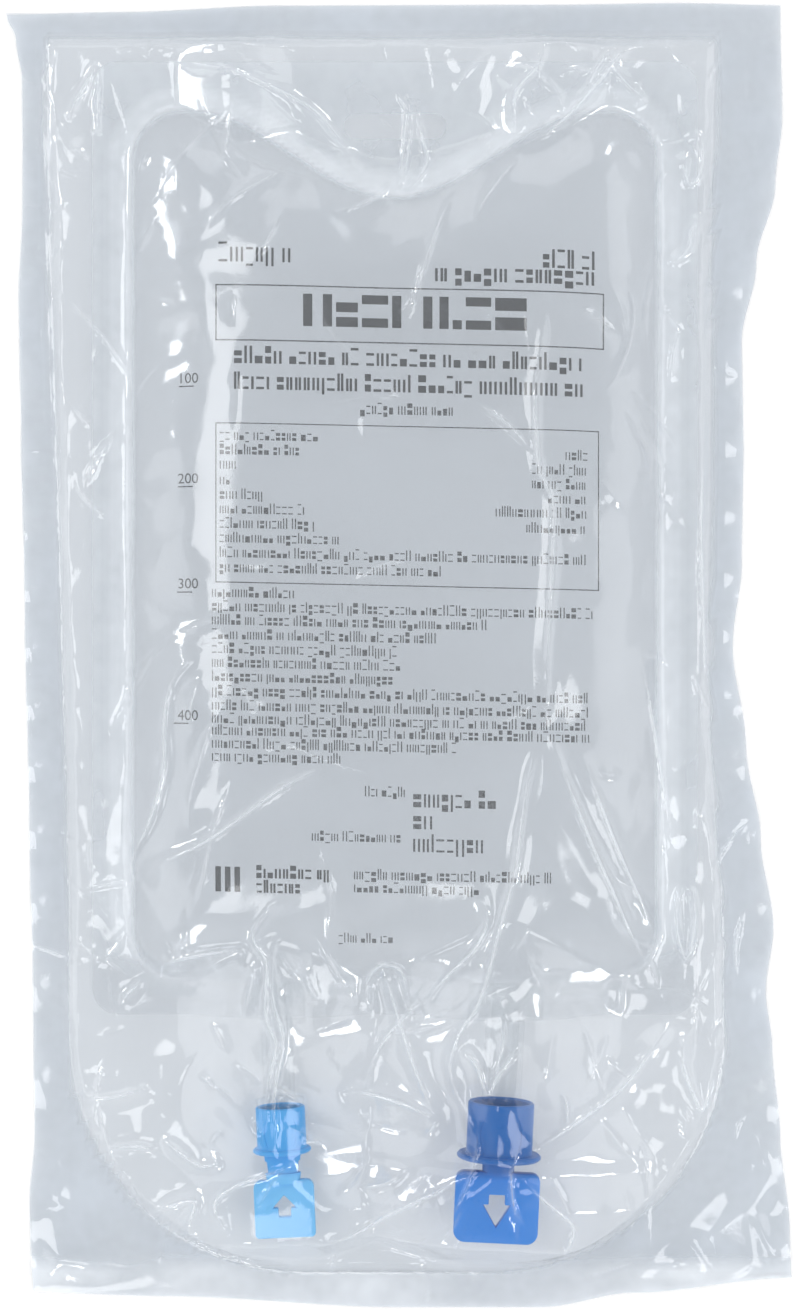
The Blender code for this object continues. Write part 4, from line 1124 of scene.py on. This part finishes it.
def make_ribs(port):
    """Grip ribs that bow apart along the sleeve, in pairs above and below."""
    bm = bmesh.new()
    end = port.sleeve_end - RIB_WIDTH * 0.4
    for turn in (math.pi / 2, -math.pi / 2):
        for side in (1, -1):
            rings = []
            for i in range(13):
                share = i / 12
                angle = turn + side * port.rib_angle * (0.86 + 0.24 * math.sin(share * math.pi))
                z = port.rib_start + (end - port.rib_start) * share
                rise = RIB_PROUD * min(1.0, 4 * share, 4 * (1 - share) + 0.3)
                ring = []
                for across, part in RIB_SECTION:
                    radius = port.sleeve_radius + part * rise - (0.2 if part < 0 else 0.0)
                    at = angle + across * RIB_WIDTH / port.sleeve_radius
                    ring.append(bm.verts.new((radius * math.cos(at), radius * math.sin(at), z)))
                rings.append(ring)
            for pair in zip(rings, rings[1:]):
                band(bm, *pair)
            bm.faces.new(rings[0])
            bm.faces.new(rings[-1])
    return bm


def make_tube(port, material):
    root = -BOTTOM_WELD
    head_end = port.sleeve_end - 2 * CLEARANCE - STOPPER_THICKNESS
    head_radius = port.sleeve_radius - port.sleeve_wall - CLEARANCE
    head_start = head_end - TUBE_HEAD_LENGTH
    profile = [(0.0, root), (port.tube_radius, root)]
    if port.collar_start:
        collar_end = port.sleeve_start - CLEARANCE
        profile += [(port.tube_radius, port.collar_start), (port.collar_radius, port.collar_start),
                    (port.collar_radius, collar_end), (port.tube_radius, collar_end)]
    profile += [(port.tube_radius, head_start), (head_radius, head_start), (head_radius, head_end),
                (0.0, head_end)]
    tube = solid(port.name + "_pipe", turned(profile))
    half_width = WELD_BOAT_SPREAD * port.tube_radius - 1.3
    thick = port.tube_radius - CLEARANCE
    outline = []
    for side in (1, -1):
        for i in range(16):
            u = side * (1 - i / 8)
            outline.append((u * half_width, side * thick * (1 - u * u)))
    ends = ([(u, v, w) for u, v in outline] for w in (-BOTTOM_WELD, -CLEARANCE))
    boat = solid(port.name + "_boat", prism(*ends))
    bore = solid(port.name + "_bore", turned([
        (0.0, root - 1), (port.bore_radius, root - 1),
        (port.bore_radius, head_end + 1), (0.0, head_end + 1),
    ]))
    combine(tube, boat, "UNION")
    combine(tube, bore, "DIFFERENCE")
    settled(tube, (boat, bore), port)
    dress(tube, material, port.name + "_tube")


def make_stopper(port, material):
    start = port.sleeve_end - CLEARANCE - STOPPER_THICKNESS
    end = start + STOPPER_THICKNESS
    radius = port.sleeve_radius - port.sleeve_wall - CLEARANCE
    waist = 0.15 * STOPPER_THICKNESS
    stopper = solid(port.name + "_plug", turned([
        (0.0, start), (radius - waist, start), (radius, start + waist),
        (radius, end - waist), (radius - waist, end), (0.0, end),
    ]))
    settled(stopper, (), port)
    dress(stopper, material, port.name + "_stopper")


# Materials


class Nodes:
    """Short calls for building the nodes of one material or of the world."""

    def __init__(self, name, kind=bpy.data.materials):
        self.owner = kind.new(name)
        self.owner.use_nodes = True
        self.tree = self.owner.node_tree
        self.tree.nodes.clear()

    def add(self, kind, inputs=None, **settings):
        node = self.tree.nodes.new(kind)
        for key, value in settings.items():
            setattr(node, key, value)
        for key, value in (inputs or {}).items():
            socket = node.inputs[key]
            if isinstance(value, bpy.types.NodeSocket):
                self.tree.links.new(value, socket)
            else:
                socket.default_value = value
        return node

    def math(self, operation, a, b=0.0, clamp=False):
        return self.add("ShaderNodeMath", {0: a, 1: b}, operation=operation, use_clamp=clamp).outputs[0]

    def noise(self, scale, detail):
        place = self.add("ShaderNodeTexCoord").outputs["Object"]
        inputs = {"Vector": place, "Scale": scale, "Detail": detail, "Roughness": 0.55}
        return self.add("ShaderNodeTexNoise", inputs).outputs["Fac"]

    def ranged(self, value, low, high, to_low, to_high):
        return self.add("ShaderNodeMapRange", {
            "Value": value, "From Min": low, "From Max": high, "To Min": to_low, "To Max": to_high,
        }).outputs["Result"]

    def spread(self, noise, low, high):
        """The noise's usual range, from 0.3 to 0.7, spread over that range."""
        return self.ranged(noise, 0.3, 0.7, low, high)

    def kept(self, name):
        """Number kept for each point of the mesh."""
        return self.add("ShaderNodeAttribute", attribute_name=name).outputs["Fac"]

    def shade(self, share, one, other):
        colours = {"Factor": share, "A": (*one, 1), "B": (*other, 1)}
        return self.add("ShaderNodeMix", colours, data_type="RGBA").outputs["Result"]

    def bump(self, height, distance, strength):
        inputs = {"Height": height, "Distance": distance, "Strength": strength}
        return self.add("ShaderNodeBump", inputs).outputs[0]

    def clear(self, colour):
        return self.add("ShaderNodeBsdfTransparent", {"Color": colour}).outputs[0]

    def matt(self, colour):
        return self.add("ShaderNodeBsdfDiffuse", {"Color": (*colour, 1)}).outputs[0]

    def blend(self, share, one, other):
        return self.add("ShaderNodeMixShader", {"Fac": share, 1: one, 2: other}).outputs[0]

    def shine(self, body, roughness, straight_on, grazing, normal=None):
        """Body under a gloss that is weak straight on and strong at a grazing angle."""
        inputs = {"Roughness": roughness}
        if normal:
            inputs.update({"Color": (1, 1, 1, 1), "Normal": normal})
        glossy = self.add("ShaderNodeBsdfGlossy", inputs).outputs[0]
        facing = self.add("ShaderNodeLayerWeight", {"Blend": 0.5}).outputs["Facing"]
        rim = self.math("MULTIPLY", self.math("POWER", facing, 5.0), grazing)
        return self.blend(self.math("ADD", rim, straight_on, clamp=True), body, glossy)

    def finish(self, shader):
        self.add("ShaderNodeOutputMaterial", {"Surface": shader})
        return self.owner


def film_material(name, tint, haze_and_highlight_colour, haze, haze_more, mask, roughness, gloss):
    """Clear film: tinted see-through, a little haze, a painted highlight along the crests of the
    creases, and gloss that grows at grazing angles.
    """
    n = Nodes(name)
    speckle = n.noise(900.0, 4.0)
    mottle = n.spread(n.noise(45.0, 3.0), 0.4, 1.0)
    more = n.math("MULTIPLY", n.math("MULTIPLY", n.kept(mask), mottle), haze_more)
    # Painted highlight: the crease mask adds whitish diffuse colour along the crests, standing in for
    # light caught by the folds
    more = n.math("ADD", more, n.math("MULTIPLY", n.kept("crease"), 0.4))
    amount = n.math("ADD", n.spread(speckle, 0.75 * haze, 1.25 * haze), more, clamp=True)
    body = n.blend(amount, n.clear((*tint, 1)), n.matt(haze_and_highlight_colour))
    return n.finish(n.shine(body, roughness, gloss, 0.8, n.bump(speckle, 0.00004, 0.4)))


def fluid_material():
    n = Nodes("saline")
    tint = n.shade(n.noise(30.0, 2.0), (0.990, 0.993, 0.996), (0.997, 0.998, 0.999))
    return n.finish(n.shine(n.clear(tint), 0.02, 0.003, 0.2))


def ink_material(name, strength):
    n = Nodes(name)
    amount = n.spread(n.noise(1600.0, 2.0), strength - 0.06, strength + 0.06)
    ink = n.add("ShaderNodeBsdfPrincipled", {"Base Color": (0.055, 0.056, 0.058, 1), "Roughness": 0.45})
    return n.finish(n.blend(amount, n.clear((1, 1, 1, 1)), ink.outputs[0]))


def moulded_material(name, colour, painted_tab_light_colour):
    """Moulded plastic with a fine orange-peel surface, painted paler on the tab for light showing
    through the thin tab and for glare from the film over it.
    """
    n = Nodes(name)
    place = n.add("ShaderNodeTexCoord").outputs["Object"]
    y = n.add("ShaderNodeSeparateXYZ", {"Vector": place}).outputs["Y"]
    # Painted light: the tab end of the cap gets the paler colour, standing in for light through the
    # thin tab and film glare
    tab = n.ranged(y, -0.1185, -0.1205, 0.0, 1.0)
    share = n.math("ADD", tab, n.spread(n.noise(160.0, 3.0), -0.06, 0.06), clamp=True)
    return n.finish(n.add("ShaderNodeBsdfPrincipled", {
        "Base Color": n.shade(share, colour, painted_tab_light_colour),
        "Roughness": n.spread(n.noise(500.0, 3.0), 0.27, 0.38),
        "Normal": n.bump(n.noise(2600.0, 2.0), 0.00002, 0.25), "Specular IOR Level": 0.35,
    }).outputs[0])


def clear_plastic_material():
    n = Nodes("port_clear")
    haze = n.spread(n.noise(220.0, 3.0), 0.01, 0.03)
    body = n.blend(haze, n.clear((0.985, 0.988, 0.99, 1)), n.matt((0.75, 0.79, 0.82)))
    return n.finish(n.shine(body, 0.06, 0.015, 0.12))


def rubber_material():
    n = Nodes("stopper_rubber")
    grain = n.noise(900.0, 4.0)
    return n.finish(n.add("ShaderNodeBsdfPrincipled", {
        "Base Color": n.shade(grain, (0.42, 0.43, 0.45), (0.52, 0.53, 0.55)), "Roughness": 0.7,
        "Normal": n.bump(grain, 0.00005, 0.4),
    }).outputs[0])


def floor_material():
    """Pale matt floor that looks a little lighter itself than the light it gives back."""
    n = Nodes("floor")
    path = n.add("ShaderNodeLightPath").outputs
    seen = n.math("ADD", path["Is Camera Ray"], path["Is Glossy Ray"], clamp=True)
    seen = n.math("ADD", seen, path["Is Transmission Ray"], clamp=True)
    glow = n.add("ShaderNodeEmission", {"Strength": n.math("MULTIPLY", seen, 0.20)}).outputs[0]
    return n.finish(n.add("ShaderNodeAddShader", {0: n.matt((0.86, 0.86, 0.86)), 1: glow}).outputs[0])


# Studio


def make_world():
    """Light from all round, strongest low down."""
    n = Nodes("studio", bpy.data.worlds)
    place = n.add("ShaderNodeTexCoord").outputs["Generated"]
    height = n.add("ShaderNodeSeparateXYZ", {"Vector": place}).outputs["Z"]
    strength = n.ranged(height, 0.30, 0.75, 1.15, 0.46)
    background = n.add("ShaderNodeBackground", {"Strength": strength}).outputs[0]
    n.add("ShaderNodeOutputWorld", {"Surface": background})
    bpy.context.scene.world = n.owner


LAMPS = (
    # name, polar angle, azimuth, distance, width, height, radiance
    ("key", 64, 195, 1.3, 0.9, 0.6, 0.9),
    ("fill", 62, 8, 1.3, 0.9, 0.6, 0.9),
    ("top", 58, 100, 1.4, 0.7, 0.6, 0.9),
    ("veil_left", 32, 165, 1.3, 0.44, 0.44, 3.4),
    ("veil_right", 34, 330, 1.3, 0.44, 0.44, 3.4),
    ("veil_low", 34, 255, 1.3, 0.4, 0.4, 3.0),
    ("spark_left", 64, 160, 1.5, 0.3, 0.2, 13.0),
    ("spark_right", 64, 335, 1.5, 0.3, 0.2, 13.0),
    ("spark_top", 66, 60, 1.5, 0.3, 0.2, 12.0),
    ("spark_low", 66, 250, 1.5, 0.3, 0.2, 12.0),
)


def make_lamps():
    for name, polar, azimuth, distance, width, height, radiance in LAMPS:
        lamp = bpy.data.lights.new(name, "AREA")
        lamp.shape = "RECTANGLE"
        lamp.size, lamp.size_y = width, height
        lamp.energy = radiance * math.pi * width * height
        holder = bpy.data.objects.new(name, lamp)
        bpy.context.scene.collection.objects.link(holder)
        p, a = math.radians(polar), math.radians(azimuth)
        place = Vector((math.sin(p) * math.cos(a), math.sin(p) * math.sin(a), math.cos(p))) * distance
        holder.location = place
        holder.rotation_mode = "QUATERNION"
        holder.rotation_quaternion = place.to_track_quat("Z", "Y")


def make_camera():
    camera = bpy.data.cameras.new("camera")
    camera.sensor_width = 36.0
    camera.lens = 18.0 / math.tan(math.radians(26.1) / 2)
    camera.clip_start, camera.clip_end = 0.01, 20.0
    holder = bpy.data.objects.new("camera", camera)
    bpy.context.scene.collection.objects.link(holder)
    holder.location = (0.0002, -0.0001, 0.66)
    bpy.context.scene.camera = holder


def make_floor():
    mesh = bpy.data.meshes.new("floor")
    corners = ((-1, -1), (1, -1), (1, 1), (-1, 1))
    mesh.from_pydata([(4 * x, 4 * y, -0.0004) for x, y in corners], [], [(0, 1, 2, 3)])
    floor = link("floor", mesh)
    floor.data.materials.append(floor_material())


def main():
    make_camera()
    make_floor()
    make_world()
    make_lamps()
    make_pouch(film_material("overwrap_film", (0.897, 0.913, 0.931), (0.88, 0.93, 0.99),
                             0.015, 0.80, "seal", 0.09, 0.065))
    make_bag(film_material("bag_film", (0.955, 0.958, 0.962), (0.95, 0.975, 1.0),
                           0.012, 0.9, "weld", 0.12, 0.012), fluid_material())
    make_print(ink_material("ink_bold", 0.85), ink_material("ink_fine", 0.78))
    clear = clear_plastic_material()
    rubber = rubber_material()
    # The second colour of each cap is its tab painted paler for light through the thin tab and glare
    # from the film
    light_blue = moulded_material("cap_light_blue", (0.075, 0.43, 0.90), (0.20, 0.60, 1.0))
    dark_blue = moulded_material("cap_dark_blue", (0.006, 0.14, 0.48), (0.04, 0.27, 0.80))
    for port, material in ((INJECTION, light_blue), (INFUSION, dark_blue)):
        make_tube(port, clear)
        make_stopper(port, rubber)
        make_cap(port, material)


# The films lie six deep, so light paths are kept short
LIGHT_PATHS = {
    "transparent_max_bounces": 16, "max_bounces": 4, "diffuse_bounces": 2, "glossy_bounces": 1,
    "transmission_bounces": 1, "adaptive_threshold": 0.04, "use_light_tree": False,
}

main()
bpy.context.scene.view_settings.view_transform = "Standard"
for setting, value in LIGHT_PATHS.items():
    setattr(bpy.context.scene.cycles, setting, value)
bpy.context.scene.world.cycles.sampling_method = "NONE"
